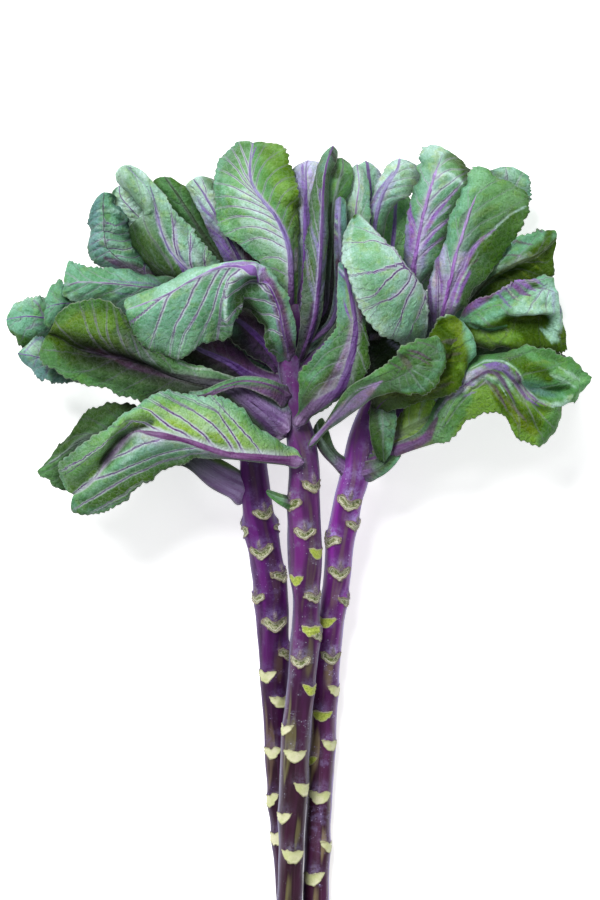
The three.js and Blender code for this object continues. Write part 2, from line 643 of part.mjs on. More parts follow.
    rib: [
      [371, 426, 65], [380, 405, 94], [396, 394, 110], [420, 382, 121], [442, 366, 127],
      [457, 342, 124], [464, 326, 112],
    ],
    right: [
      [368, 422, 64], [373, 397, 92], [386, 382, 106], [410, 362, 116], [425, 338, 122],
      [440, 320, 118], [454, 316, 110],
    ],
  },
  {
    name: "leaf_centre_right_front", stem: "stem_centre", grid: [11, 6], ruffle: 2.5,
    left: [
      [314, 450, 75], [340, 421, 104], [362, 401, 118], [385, 393, 128], [412, 395, 136],
      [430, 390, 138], [444, 370, 134], [445, 350, 128],
    ],
    rib: [
      [309, 446, 76], [336, 415, 106], [354, 394, 119], [374, 385, 129], [396, 378, 139],
      [416, 366, 145], [432, 353, 141], [441, 343, 130],
    ],
    right: [
      [305, 441, 75], [331, 409, 104], [349, 387, 117], [366, 377, 127], [384, 366, 136],
      [402, 349, 140], [422, 341, 138], [437, 335, 130],
    ],
  },
];

// ---- From the drawing to the part ------------------------------------------------------------
const place = ([column, row, z]) =>
  new THREE.Vector3((column - ORIGIN_COLUMN) * UNIT, (ORIGIN_ROW - row) * UNIT, z);
const curve = (points) => new THREE.CatmullRomCurve3(points.map(place), false, "catmullrom", 0.5);
const clamp = THREE.MathUtils.clamp;
const smooth = THREE.MathUtils.smoothstep;

// A closed solid from its vertices and triangles, turned so that its faces point outwards.
function solid(points, faces) {
  const geometry = new THREE.BufferGeometry();
  const flat = points.flatMap((p) => [p.x, p.y, p.z]);
  geometry.setAttribute("position", new THREE.Float32BufferAttribute(flat, 3));
  geometry.setIndex(faces.flat());
  const merged = mergeVertices(geometry, 1e-4);
  const vertProperties = merged.attributes.position.array;
  const triVerts = new Uint32Array(merged.index.array);
  const made = new wasm.Manifold(new wasm.Mesh({ numProp: 3, vertProperties, triVerts }));
  return made.volume() > 0 ? made : solid(points, faces.map(([a, b, c]) => [a, c, b]));
}

function largestBody(made) {
  return made.decompose().reduce((most, body) => (body.volume() > most.volume() ? body : most));
}

function mesh(name, made, look) {
  const { numProp, vertProperties, triVerts } = made.getMesh();
  const geometry = new THREE.BufferGeometry();
  const points = [];
  for (let i = 0; i < vertProperties.length; i += numProp) {
    points.push(vertProperties[i], vertProperties[i + 1], vertProperties[i + 2]);
  }
  geometry.setAttribute("position", new THREE.Float32BufferAttribute(points, 3));
  geometry.setIndex([...triVerts]);
  geometry.computeVertexNormals();
  const material = new THREE.MeshStandardMaterial({ ...look, metalness: 0 });
  const piece = new THREE.Mesh(geometry, material);
  piece.name = name;
  return piece;
}

// ---- Stalks --------------------------------------------------------------------------------
// A tapered tube with a raised scar wherever a leaf was picked, and a flat spot where it lies.
function stemRings({ path, scars }, extra) {
  const centres = curve(path);
  const radii = new THREE.CatmullRomCurve3(path.map((p) => new THREE.Vector3(p[3] * UNIT, 0, 0)));
  radii.curveType = "catmullrom";
  const rings = [];
  const marks = scars.map((scar) => place([...scar, 0]));
  for (let i = 0; i <= STEM_RINGS; i += 1) {
    const share = i / STEM_RINGS;
    const centre = centres.getPoint(share);
    const along = centres.getTangent(share);
    const side = new THREE.Vector3().crossVectors(along, new THREE.Vector3(0, 0, 1)).normalize();
    const up = new THREE.Vector3().crossVectors(side, along);
    const radius = radii.getPoint(share).x;
    const ring = [];
    for (let k = 0; k < STEM_SIDES; k += 1) {
      const turn = ((k + 0.5) / STEM_SIDES) * 2 * Math.PI;
      let reach = radius + extra;
      marks.forEach((mark) => {
        const facing = Math.acos(clamp((mark.x - centre.x) / radius, -1, 1));
        const around = Math.atan2(Math.sin(turn - facing), Math.cos(turn - facing)) * radius;
        const away = (mark.y - centre.y) / SCAR_LENGTH;
        reach += SCAR_HEIGHT * Math.exp(-((around / SCAR_WIDTH) ** 2) - away ** 2);
      });
      const point = centre.clone();
      point.addScaledVector(side, Math.cos(turn) * reach);
      point.addScaledVector(up, Math.sin(turn) * reach);
      point.z = Math.max(point.z, extra > 0 ? -extra : 0);
      ring.push(point);
    }
    rings.push(ring);
  }
  return rings;
}

// Triangles of a stalk's side, between its rings.
function stemFaces() {
  const faces = [];
  for (let i = 0; i < STEM_RINGS; i += 1) {
    for (let k = 0; k < STEM_SIDES; k += 1) {
      const next = (k + 1) % STEM_SIDES;
      const [a, b] = [i * STEM_SIDES + k, i * STEM_SIDES + next];
      faces.push([a, b, b + STEM_SIDES], [a, b + STEM_SIDES, a + STEM_SIDES]);
    }
  }
  return faces;
}

function stemSolid(stem, extra = 0) {
  const points = stemRings(stem, extra).flat();
  const faces = stemFaces();
  const last = STEM_RINGS * STEM_SIDES;
  for (let k = 1; k < STEM_SIDES - 1; k += 1) {
    faces.push([0, k + 1, k], [last, last + k, last + k + 1]);
  }
  return solid(points, faces);
}

// ---- Leaves --------------------------------------------------------------------------------
// Shares of a half blade where the grid has lines, close together beside the midrib.
const ACROSS = {
  2: [-1, 0, 1],
  4: [-1, -0.4, 0, 0.4, 1],
  6: [-1, -0.58, -0.16, 0, 0.16, 0.58, 1],
};

// The middle surface of a leaf, as rows of points from its base to its tip.
function leafRows(leaf, index) {
  const [steps, lanes] = leaf.grid;
  const [left, rib, right] = [leaf.left, leaf.rib, leaf.right].map(curve);
  const bulge = leaf.bulge ?? [0, 0];
  const rows = [];
  for (let i = 0; i <= steps; i += 1) {
    const u = i / steps;
    const middle = rib.getPoint(u);
    const open = smooth(u, ...OPENING);
    rows.push(
      ACROSS[lanes].map((v) => {
        const edge = (v < 0 ? left : right).getPoint(u);
        const reach = Math.abs(v);
        const width = middle.distanceTo(edge);
        const point = middle.clone().lerp(edge, reach);
        const wave = Math.sin(2 * Math.PI * steps * WAVES * u + index + (v < 0 ? 0 : WAVE_LAG));
        point.z += 4 * bulge[v < 0 ? 0 : 1] * reach * (1 - reach) * open;
        point.z += leaf.ruffle * reach ** 2 * open * wave;
        point.userData = { u, away: reach * width };
        return point;
      }),
    );
  }
  return rows;
}

// Depth of a leaf at a point: a rounded midrib that tapers to the tip, on a thin blade.
function leafDepth({ u, away }, baseHalf) {
  const ribHalf = THREE.MathUtils.lerp(baseHalf * MIDRIB_BASE, MIDRIB_TIP_HALF, u ** 0.8);
  const ribDepth = THREE.MathUtils.lerp(baseHalf * PETIOLE_DEPTH, MIDRIB_TIP_DEPTH, u ** 0.6);
  return BLADE + ribDepth * Math.max(0, 1 - (away / ribHalf) ** 2);
}

// Upper and lower skins above and below the same points, so that the two never cross.
function leafSkins(leaf, rows) {
  const baseHalf = place(leaf.left[0]).distanceTo(place(leaf.right[0])) / 2;
  const top = [];
  const bottom = [];
  rows.forEach((row, i) =>
    row.forEach((point, j) => {
      const ahead = (rows[i + 1] ?? rows[i])[j];
      const behind = (rows[i - 1] ?? rows[i])[j];
      const one = row[j + 1] ?? row[j];
      const other = row[j - 1] ?? row[j];
      const lengthwise = new THREE.Vector3().subVectors(ahead, behind);
      const crosswise = new THREE.Vector3().subVectors(one, other);
      const normal = new THREE.Vector3().crossVectors(lengthwise, crosswise).normalize();
      const depth = leafDepth(point.userData, baseHalf);
      const upright = Math.min(STEEPEST, 1 / Math.max(Math.abs(normal.z), 0.01));
      const below = (BLADE * upright) / 2 + MIDRIB_BELOW * (depth - BLADE);
      const rest = Math.max(0, point.z - below);
      bottom.push(new THREE.Vector3(point.x, point.y, rest));
      top.push(new THREE.Vector3(point.x, point.y, rest + depth + BLADE * (upright - 1)));
    }),
  );
  return { top, bottom };
}

// The same skins moved apart and outwards: the room that a leaf takes from those that cross it.
function roomSkins({ top, bottom }, [steps, lanes]) {
  const line = lanes + 1;
  const outwards = (skin, k) => {
    const lane = k % line;
    const row = (k - lane) / line;
    const middle = skin[row * line + lanes / 2];
    const aside = new THREE.Vector3().subVectors(skin[k], middle).setZ(0);
    const reach = lane === 0 || lane === lanes ? FIT_GAP / Math.max(aside.length(), 1) : 0;
    const ends = row === 0 || row === steps;
    const along = new THREE.Vector3().subVectors(middle, skin[(row ? row - 1 : 1) * line + lanes / 2]);
    const push = ends ? along.setZ(0).setLength(FIT_GAP) : along.set(0, 0, 0);
    return skin[k].clone().addScaledVector(aside, reach).add(push);
  };
  const raise = new THREE.Vector3(0, 0, 2 * FIT_GAP);
  return {
    top: top.map((point, k) => outwards(top, k).add(raise)),
    bottom: bottom.map((point, k) => outwards(bottom, k).sub(raise)),
  };
}

// Triangles of the grid, the same on both skins.
function leafFaces([steps, lanes]) {
  const line = lanes + 1;
  const faces = [];
  for (let i = 0; i < steps; i += 1) {
    for (let j = 0; j < lanes; j += 1) {
      const a = i * line + j;
      faces.push([a, a + 1, a + line + 1], [a, a + line + 1, a + line]);
    }
  }
  return faces;
}

function leafSolid(leaf, { top, bottom }) {
  const [steps, lanes] = leaf.grid;
  const line = lanes + 1;
  const below = top.length;
  const upper = leafFaces(leaf.grid);
  const lower = upper.map(([a, b, c]) => [a + below, c + below, b + below]);
  const rim = [];
  for (let j = 0; j < lanes; j += 1) rim.push([j, j + 1]);
  for (let i = 0; i < steps; i += 1) rim.push([i * line + lanes, (i + 1) * line + lanes]);
  for (let j = lanes; j > 0; j -= 1) rim.push([steps * line + j, steps * line + j - 1]);
  for (let i = steps; i > 0; i -= 1) rim.push([i * line, (i - 1) * line]);
  const band = rim.flatMap(([a, b]) => [[b, a, a + below], [b, a + below, b + below]]);
  return solid([...top, ...bottom], [...upper, ...lower, ...band]);
}

// ---- Height maps, which keep each leaf over what lies behind it -----------------------------
const MAP_SIDE = (2 * MAP_HALF) / MAP_CELL;
const cellOf = (value) => clamp(Math.round((value + MAP_HALF) / MAP_CELL), 1, MAP_SIDE - 2);

// Visits points spread over a triangle, closer together than a map cell.
function overTriangle([a, b, c], visit) {
  const size = Math.max(a.distanceTo(b), b.distanceTo(c), c.distanceTo(a));
  const parts = Math.max(1, Math.ceil(size / (PROBE * MAP_CELL)));
  for (let i = 0; i <= parts; i += 1) {
    for (let j = 0; j <= parts - i; j += 1) {
      const [s, t] = [i / parts, j / parts];
      const rest = 1 - s - t;
      visit(
        a.x * rest + b.x * s + c.x * t,
        a.y * rest + b.y * s + c.y * t,
        a.z * rest + b.z * s + c.z * t,
      );
    }
  }
}

function heightMap(keep, start) {
  const cells = new Float32Array(MAP_SIDE * MAP_SIDE).fill(start);
  return {
    at: (x, y) => cells[cellOf(y) * MAP_SIDE + cellOf(x)],
    add: (points, faces) =>
      faces.forEach((face) =>
        overTriangle(face.map((k) => points[k]), (x, y, z) => {
          const [column, row] = [cellOf(x), cellOf(y)];
          for (let k = 0; k < 9; k += 1) {
            const cell = (row + Math.floor(k / 3) - 1) * MAP_SIDE + column + (k % 3) - 1;
            cells[cell] = keep(cells[cell], z);
          }
        }),
      ),
  };
}

const FLOOR = -1000;
const SKY = 1000;
const leafTops = heightMap(Math.max, FLOOR);
const stemMaps = {};

function mapStem(name, stem) {
  const points = stemRings(stem, 0).flat();
  const faces = stemFaces();
  stemMaps[name] = { top: heightMap(Math.max, FLOOR), under: heightMap(Math.min, SKY), passed: false };
  stemMaps[name].top.add(points, faces);
  stemMaps[name].under.add(points, faces);
}

// Lifts a leaf over the leaves and stalks behind it, and lowers it under stalks in front of it.
function settle(leaf, rows) {
  const faces = leafFaces(leaf.grid);
  const { top, bottom } = leafSkins(leaf, rows);
  const flat = rows.flat();
  const lift = flat.map(() => 0);
  const drop = flat.map(() => 0);
  faces.forEach((face) => {
    const isBase = Math.min(...face.map((k) => flat[k].userData.u)) < BASE_SHARE;
    const stems = Object.entries(stemMaps).filter(([name]) => name !== leaf.stem || !isBase);
    const before = stems.filter(([, maps]) => maps.passed);
    const after = stems.filter(([, maps]) => !maps.passed);
    overTriangle(face.map((k) => bottom[k]), (x, y, z) => {
      const leaves = isBase ? FLOOR : leafTops.at(x, y);
      const highest = Math.max(leaves, ...before.map(([, maps]) => maps.top.at(x, y)));
      face.forEach((k) => (lift[k] = Math.max(lift[k], highest + LEAF_GAP - z)));
    });
    overTriangle(face.map((k) => top[k]), (x, y, z) => {
      const lowest = Math.min(SKY, ...after.map(([, maps]) => maps.under.at(x, y)));
      face.forEach((k) => (drop[k] = Math.max(drop[k], z + LEAF_GAP - lowest)));
    });
  });
  const spread = (needs, k) => {
    const slope = REST_SLOPE + BASE_SLOPE * (1 - smooth(flat[k].userData.u, 0, 2 * BASE_SHARE));
    const away = (w) => Math.hypot(flat[k].x - flat[w].x, flat[k].y - flat[w].y);
    return Math.max(...needs.map((need, w) => need - slope * away(w)));
  };
  const lifts = lift.map((n, k) => Math.max(0, spread(lift, k)));
  const drops = drop.map((n, k) => Math.max(0, spread(drop, k)));
  flat.forEach((point, k) => (point.z += lifts[k] - drops[k]));
}

// ---- The bunch -----------------------------------------------------------------------------
const bunch = new THREE.Group();
bunch.name = "purple_kale_bunch";
Object.entries(STEMS).forEach(([name, stem]) => mapStem(name, stem));
const rooms = Object.values(STEMS).map((stem) => stemSolid(stem, FIT_GAP));

LEAVES.forEach((entry, index) => {
  if (STEMS[entry.name]) {
    stemMaps[entry.name].passed = true;
    bunch.add(mesh(entry.name, stemSolid(STEMS[entry.name]), COLOURS.stem));
    return;
  }
  const rows = leafRows(entry, index);
  settle(entry, rows);
  settle(entry, rows);
  const skins = leafSkins(entry, rows);
  leafTops.add(skins.top, leafFaces(entry.grid));
  const whole = leafSolid(entry, skins);
  const cut = rooms.reduce((made, room) => made.subtract(room), whole);
  bunch.add(mesh(entry.name, largestBody(cut), COLOURS.leaf));
  rooms.push(leafSolid(entry, roomSkins(skins, entry.grid)));
});

export default bunch;
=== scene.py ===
# Looks of the purple kale bunch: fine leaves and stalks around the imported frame. Metres, +Z up.
# Shapes are worked out in millimetres, in the frame's axes, and written to the meshes in metres.
import math

import bpy
import numpy as np
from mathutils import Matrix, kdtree


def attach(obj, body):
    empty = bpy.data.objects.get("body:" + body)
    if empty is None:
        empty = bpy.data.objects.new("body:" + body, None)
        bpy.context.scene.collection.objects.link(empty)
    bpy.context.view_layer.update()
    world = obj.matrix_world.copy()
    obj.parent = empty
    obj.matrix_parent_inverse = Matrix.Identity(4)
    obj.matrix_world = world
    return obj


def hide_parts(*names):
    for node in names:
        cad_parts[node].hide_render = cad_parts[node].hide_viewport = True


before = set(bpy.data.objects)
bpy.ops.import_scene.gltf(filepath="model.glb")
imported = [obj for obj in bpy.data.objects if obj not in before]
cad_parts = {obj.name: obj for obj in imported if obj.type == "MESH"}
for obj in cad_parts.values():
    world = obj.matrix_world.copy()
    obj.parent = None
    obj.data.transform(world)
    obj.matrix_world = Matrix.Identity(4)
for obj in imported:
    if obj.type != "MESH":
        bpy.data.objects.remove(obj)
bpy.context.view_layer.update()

# ---- The drawing that the frame's solids were made from --------------------------------------
UNIT = 0.8  # millimetres in one drawing unit
ORIGIN_COLUMN = 299  # drawing column at X = 0
ORIGIN_ROW = 536  # drawing row at Y = 0
VIEW_CENTRE = (300, 450, 0)  # the place that the camera looks down on
VIEW_ROWS = 900  # rows that it shows
BLADE = 1.0  # blade thickness of the frame's leaves
PETIOLE_DEPTH = 1.15  # depth of a leaf stalk at its base, as a share of its half width
MIDRIB_BASE = 1.25  # half width of a midrib at its base, as a share of the base's own
MIDRIB_TIP = (1.2, 0.3)  # half width and depth of a midrib at the tip
MIDRIB_BELOW = 0.6  # share of a midrib's depth that stands out of the underside
OPENING = (0.12, 0.4)  # shares of a leaf's length where its stalk opens into the blade
LANES = {
    2: (-1, 0, 1),
    4: (-1, -0.4, 0, 0.4, 1),
    6: (-1, -0.58, -0.16, 0, 0.16, 0.58, 1),
}

# ---- Fine surface, millimetres ---------------------------------------------------------------
SKIN = 0.7  # blade thickness as seen
CELL = 1.55  # size of a mesh cell
ROWS_FINE = (24, 120)  # fewest and most rows of cells along a leaf
HALF_FINE = (7, 36)  # fewest and most columns of cells in half of one
LANE_BIAS = 1.25  # above 1, the columns crowd towards the midrib
CORNER = 10  # radius of the rounding at a leaf's tip
WIDE_BLADE = (7, 18)  # half widths between which a stalk becomes a full blade
WAVE_RUN = (16, 6.5)  # length of the margin's large and small waves
BULGE_RUN = 8  # length of the uneven bulges
TOOTH = 1.8  # depth of the small teeth of a margin
TOOTH_RUN = 6.2  # length of one
LOBE = 2.1  # depth of its larger waves
LOBE_RUN = 9
NICK = 0.5  # depth of its smallest nicks
NICK_RUN = 2.2
SINK_RUN = 11  # length over which a leaf's base runs down into its stalk
CLASP = 0.4  # how much wider a leaf stalk is where it clasps its stem
CLASP_AT = 5  # how far from the base that is
RIGHT_SIDE = 31.0  # shift of the random fields between a leaf's two sides
STALK_RINGS = 620
STALK_SIDES = 64
END_RINGS = ((0.93, 0.35), (0.6, 0.45), (0.3, 0.4), (0.04, 0.4))  # a cut end: share of the radius, rise
MAP_CELL = 2.0  # cell of the height map that tells how deep a leaf lies
MAP_HALF = 200  # half its cells
LOOK_AROUND = (5, 10, 18, 28)  # how far away it looks for what covers a point
UNDERSIDE_SHADE = 0.45  # strength of the painted shade on an underside, as a share of the upper side's

# ---- Colours, sRGB ---------------------------------------------------------------------------
TONES = {
    "mist": (174, 206, 192), "pale": (148, 190, 166), "glaucous_light": (134, 180, 152),
    "glaucous": (112, 162, 132), "bluish": (104, 144, 136), "leaf_light": (118, 166, 114),
    "leaf": (90, 138, 86), "green": (78, 112, 76), "grey_green": (84, 104, 92),
    "lit_bright": (138, 178, 84), "lit": (108, 146, 70), "lime": (98, 122, 50), "forest": (62, 98, 42),
    "olive": (64, 94, 14), "moss": (58, 88, 4), "deep": (52, 78, 40), "dark": (36, 48, 22),
    "night": (20, 26, 14), "lilac_pale": (182, 182, 212), "lilac": (140, 136, 176),
    "pink_grey": (158, 142, 178), "bright": (146, 92, 180), "orchid": (138, 106, 170),
    "orchid_light": (170, 134, 196), "grey_lilac": (122, 104, 142), "wine": (116, 74, 118),
    "violet": (118, 92, 156), "violet_dark": (98, 74, 122), "stalk": (112, 80, 130),
    "mauve": (104, 80, 112), "plum": (84, 56, 86), "plum_dark": (46, 34, 52),
    "vein_white": (176, 196, 188), "joint_bloom": (150, 134, 160),
}
VEIN = (96, 54, 120)
VEIN_BAND = (198, 208, 212)
MARGIN = (150, 158, 146)
FLUSH = (120, 84, 140)
# tint that the painted shade deep between the leaves leans towards
PAINTED_SHADE_TINT = (8, 14, 2)
RIB_SHEEN = (200, 194, 220)
STALK_TOP, STALK_FOOT = (104, 36, 116), (62, 24, 46)
STALK_LILAC, STALK_ROSE, STALK_MAGENTA = (122, 100, 152), (128, 66, 146), (122, 40, 134)
STALK_OLIVE, STALK_STREAK = (116, 106, 72), (140, 96, 134)
BLOOM, SPECK = (146, 138, 180), (196, 190, 220)
LIMES, CREAMS = ((150, 172, 62), (192, 204, 96)), ((198, 204, 144), (222, 220, 184))
CUT_CORE, CUT_PALE = ((104, 116, 62), (186, 186, 152)), (208, 208, 184)
CUT_DOT, CUT_RING, PLAIN_DOT = (54, 62, 30), (92, 82, 58), (84, 100, 34)
RIMS, PLAIN_RIM = ((168, 158, 128), (96, 82, 74)), (192, 194, 146)
BUDS = ((136, 122, 128), (92, 78, 92))


# ---- Small tools -----------------------------------------------------------------------------
def linear(rgb):
    """An sRGB colour, 0 to 255, as the linear values that shaders read."""
    share = np.asarray(rgb, float) / 255
    return np.where(share <= 0.04045, share / 12.92, ((share + 0.055) / 1.055) ** 2.4)


def painted(colours, share, tone):
    """Linear colours with that share of a tone over them."""
    return colours * (1 - share) + linear(TONES[tone]) * share


def smooth(x, low, high):
    """0 below low, 1 above high, and a smooth step between."""
    t = np.clip((x - low) / (high - low), 0, 1)
    return t * t * (3 - 2 * t)


def bell(x, half):
    """1 at 0, and falling off both ways over about that half width."""
    return np.exp(-((x / half) ** 2))


def table(text):
    """Rows of numbers, as in "1,2,3 4,5": what a row leaves out at its end is as in the row before."""
    rows = []
    for row in text.split():
        values = [float(value) for value in row.split(",")]
        rows.append(values + (rows[-1][len(values):] if rows else []))
    return np.array(rows)


def entries(text):
    """Entries between semicolons: single words or numbers, then a table whose rows hold commas."""
    made = []
    for entry in filter(None, (part.split() for part in text.split(";"))):
        words = [word for word in entry if "," not in word]
        made.append((*words, table(" ".join(entry[len(words):]))))
    return made


def place(points):
    """Drawing points [column, row, height] in the frame's millimetres."""
    p = np.asarray(points, float)
    return np.stack([(p[:, 0] - ORIGIN_COLUMN) * UNIT, (ORIGIN_ROW - p[:, 1]) * UNIT, p[:, 2]], 1)


def hermite(b, c, m, n, t):
    """Cubic from b to c with the slopes m and n."""
    return b + m * t + (3 * (c - b) - 2 * m - n) * t**2 + (2 * (b - c) + m + n) * t**3


def spline(points, share):
    """Catmull-Rom curve through the points, at shares of its run of points."""
    last = len(points) - 1
    p = np.vstack([2 * points[0] - points[1], points, 2 * points[-1] - points[-2]])
    at = np.clip(np.asarray(share) * last, 0, last)
    k = np.minimum(at.astype(int), last - 1)
    t = (at - k).reshape(-1, *[1] * (p.ndim - 1))
    a, b, c, d = p[k], p[k + 1], p[k + 2], p[k + 3]
    return hermite(b, c, (c - a) / 2, (d - b) / 2, t)


def across(knots, values, at):
    """Smooth curve through values[..., k] at uneven knots, read at the places given."""
    knots = np.asarray(knots, float)
    steps = np.diff(knots)
    slopes = np.diff(values, axis=-1) / steps
    inner = (slopes[..., 1:] * steps[:-1] + slopes[..., :-1] * steps[1:]) / (steps[1:] + steps[:-1])
    tangents = np.concatenate([slopes[..., :1], inner, slopes[..., -1:]], -1)
    k = np.clip(np.searchsorted(knots, at, side="right") - 1, 0, len(steps) - 1)
    h = steps[k]
    ends = values[..., k], values[..., k + 1], tangents[..., k] * h, tangents[..., k + 1] * h
    return hermite(*ends, (at - knots[k]) / h)


def random_field(seed):
    """A smooth field over the plane, between -1 and 1, the same for the same seed."""
    side = 64
    lattice = np.random.default_rng(seed).uniform(-1, 1, (side, side))

    def at(x, y):
        i, j = np.floor(x).astype(int), np.floor(y).astype(int)
        s, t = smooth(x - i, 0, 1), smooth(y - j, 0, 1)
        low = lattice[i % side, j % side] * (1 - s) + lattice[(i + 1) % side, j % side] * s
        high = lattice[i % side, (j + 1) % side] * (1 - s) + lattice[(i + 1) % side, (j + 1) % side] * s
        return low * (1 - t) + high * t

    return at


def unit(vectors):
    return vectors / np.maximum(np.linalg.norm(vectors, axis=-1, keepdims=True), 1e-9)


def normals(points):
    """Unit normals of a grid of points, upward on the whole."""
    normal = unit(np.cross(np.gradient(points, axis=0), np.gradient(points, axis=1)))
    return normal * np.sign(normal[..., 2].sum())


def make_mesh(name, points, quads, attributes, material):
    """A smooth mesh from millimetre points and quads, with its named attributes."""
    data = bpy.data.meshes.new(name)
    data.vertices.add(len(points))
    data.vertices.foreach_set("co", (points * 0.001).astype(np.float32).ravel())
    data.loops.add(quads.size)
    data.loops.foreach_set("vertex_index", quads.astype(np.int32).ravel())
    data.polygons.add(len(quads))
    data.polygons.foreach_set("loop_start", np.arange(0, quads.size, 4, dtype=np.int32))
    data.polygons.foreach_set("use_smooth", np.ones(len(quads), bool))
    data.update(calc_edges=True)
    data.validate()
    for key, values in attributes.items():
        values = np.asarray(values, np.float32)
        data.attributes.new(key, "FLOAT_VECTOR", "POINT").data.foreach_set("vector", values.ravel())
    data.materials.append(material)
    piece = bpy.data.objects.new(name, data)
    bpy.context.scene.collection.objects.link(piece)
    return piece


def grid_quads(rows, columns, offset=0, closed=False):
    """Quads of a grid of points, wound one way; closed joins the last column to the first."""
    i, j = np.meshgrid(np.arange(rows - 1), np.arange(columns - (0 if closed else 1)), indexing="ij")
    a = (i * columns + j).ravel()
    b = (i * columns + (j + 1) % columns).ravel()
    return np.stack([a, b, b + columns, a + columns], 1) + offset


# ---- Shader building -------------------------------------------------------------------------
class Shader:
    """A material's node tree, with short calls for the nodes that this scene uses."""

    def __init__(self, name):
        self.material = bpy.data.materials.new(name)
        self.material.use_nodes = True
        self.tree = self.material.node_tree
        self.skin = self.tree.nodes["Principled BSDF"]

    def node(self, kind, inputs=(), **settings):
        made = self.tree.nodes.new(kind)
        for key, value in settings.items():
            setattr(made, key, value)
        for key, value in dict(inputs).items():
            self.feed(made.inputs[key], value)
        return made

    def feed(self, socket, value):
        if isinstance(value, bpy.types.NodeSocket):
            self.tree.links.new(value, socket)
        else:
            socket.default_value = value

    def math(self, operation, a, b=0.0, c=0.0):
        return self.node("ShaderNodeMath", {0: a, 1: b, 2: c}, operation=operation).outputs[0]

    def product(self, a, b):
        return self.math("MULTIPLY", a, b)

    def middle_gap(self, value):
        """How far the part of a value after its point is from one half."""
        return self.math("ABSOLUTE", self.math("SUBTRACT", self.math("FRACT", value), 0.5))

    def band(self, value, low, high, from_low=0.0, to_high=1.0):
        """Smooth step: from_low below low, to_high above high."""
        inputs = {"Value": value, "From Min": low, "From Max": high, "To Min": from_low, "To Max": to_high}
        return self.node("ShaderNodeMapRange", inputs, interpolation_type="SMOOTHSTEP").outputs[0]

    def mix(self, share, a, b):
        made = self.node("ShaderNodeMix", data_type="RGBA", clamp_factor=True)
        for index, value in ((0, share), (6, a), (7, b)):
            if isinstance(value, tuple):
                value = (*linear(value), 1)
            self.feed(made.inputs[index], value)
        return made.outputs[2]

    def vector(self, operation, a, b):
        return self.node("ShaderNodeVectorMath", {0: a, 1: b}, operation=operation).outputs[0]

    def times(self, value, shares):
        return self.vector("MULTIPLY", value, shares)

    def attribute(self, name, output="Vector"):
        return self.node("ShaderNodeAttribute", attribute_name=name).outputs[output]

    def parts(self, name):
        return self.node("ShaderNodeSeparateXYZ", {0: self.attribute(name)}).outputs

    def position(self):
        """The point on the object, in millimetres."""
        metres = self.node("ShaderNodeTexCoord").outputs["Object"]
        made = self.node("ShaderNodeVectorMath", {0: metres, "Scale": 1000.0}, operation="SCALE")
        return made.outputs[0]

    def noise(self, vector, size, detail=3.0, roughness=0.55):
        """Noise of that feature size in millimetres, about 0.5."""
        inputs = {"Vector": vector, "Scale": 1 / size, "Detail": detail, "Roughness": roughness}
        return self.node("ShaderNodeTexNoise", inputs).outputs["Fac"]

    def cells(self, vector, size, feature="F1"):
        """Distance to the nearest cell's middle, or with DISTANCE_TO_EDGE to its edge."""
        inputs = {"Vector": vector, "Scale": 1 / size}
        return self.node("ShaderNodeTexVoronoi", inputs, feature=feature).outputs["Distance"]

    def finish(self, colour, roughness, height, relief, strength, specular):
        """Feeds the skin: relief is the height of its bumps in metres."""
        bump = self.node("ShaderNodeBump", {"Height": height, "Distance": relief, "Strength": strength})
        self.feed(self.skin.inputs["Base Color"], colour)
        self.feed(self.skin.inputs["Roughness"], roughness)
        self.feed(self.skin.inputs["Normal"], bump.outputs[0])
        self.skin.inputs["Specular IOR Level"].default_value = specular
        return self.material


# ---- Leaf material ---------------------------------------------------------------------------
def mottled_blade(s, mm, tone, middle, fine):
    """Darker and yellower patches, and small mottling."""
    wide = s.noise(mm, 20.0)
    darker = s.times(tone, (0.58, 0.68, 0.42))
    lighter = s.times(tone, (1.3, 1.22, 1.34))
    colour = s.mix(s.band(wide, 0.34, 0.62), lighter, tone)
    colour = s.mix(s.band(wide, 0.5, 0.7, 0.0, 0.6), colour, darker)
    yellow = s.band(s.noise(mm, 9.0, 2.0), 0.5, 0.68, 0.0, 0.5)
    colour = s.mix(yellow, colour, s.times(tone, (1.15, 1.02, 0.5)))
    colour = s.mix(s.band(fine, 0.3, 0.7, 0.0, 0.45), colour, darker)
    return s.mix(s.band(middle, 0.5, 0.75, 0.0, 0.4), colour, lighter)


def side_veins(s, colour, fine, near, vein_mm, vein_size, fork, outward, purple, pale):
    """A pale band, then a thin purple line in it that forks towards the margin."""
    vein_away = s.product(near, vein_mm)
    fork_away = s.product(s.math("ABSOLUTE", s.math("SUBTRACT", near, fork)), vein_mm)
    reach = s.math("MULTIPLY_ADD", vein_size, 2.4, 0.35)
    band = s.band(s.math("DIVIDE", vein_away, reach), 0.3, 1.0, 1.0, 0.0)
    band_share = s.product(pale, s.band(outward, 0.2, 1.0, 0.85, 0.3))
    colour = s.mix(s.product(band, band_share), colour, VEIN_BAND)
    line = s.band(s.math("DIVIDE", vein_away, vein_size), 0.35, 1.0, 1.0, 0.0)
    forked = s.band(s.math("DIVIDE", fork_away, s.product(vein_size, 0.8)), 0.3, 1.0, 0.8, 0.0)
    forked = s.product(forked, s.band(fork, 0.02, 0.08))
    lines = s.math("MAXIMUM", line, forked)
    strength = s.product(purple, s.band(outward, 0.5, 1.0, 1.0, 0.5))
    strength = s.product(strength, s.band(fine, 0.25, 0.6, 0.65, 1.0))
    return s.mix(s.product(lines, strength), colour, VEIN), lines


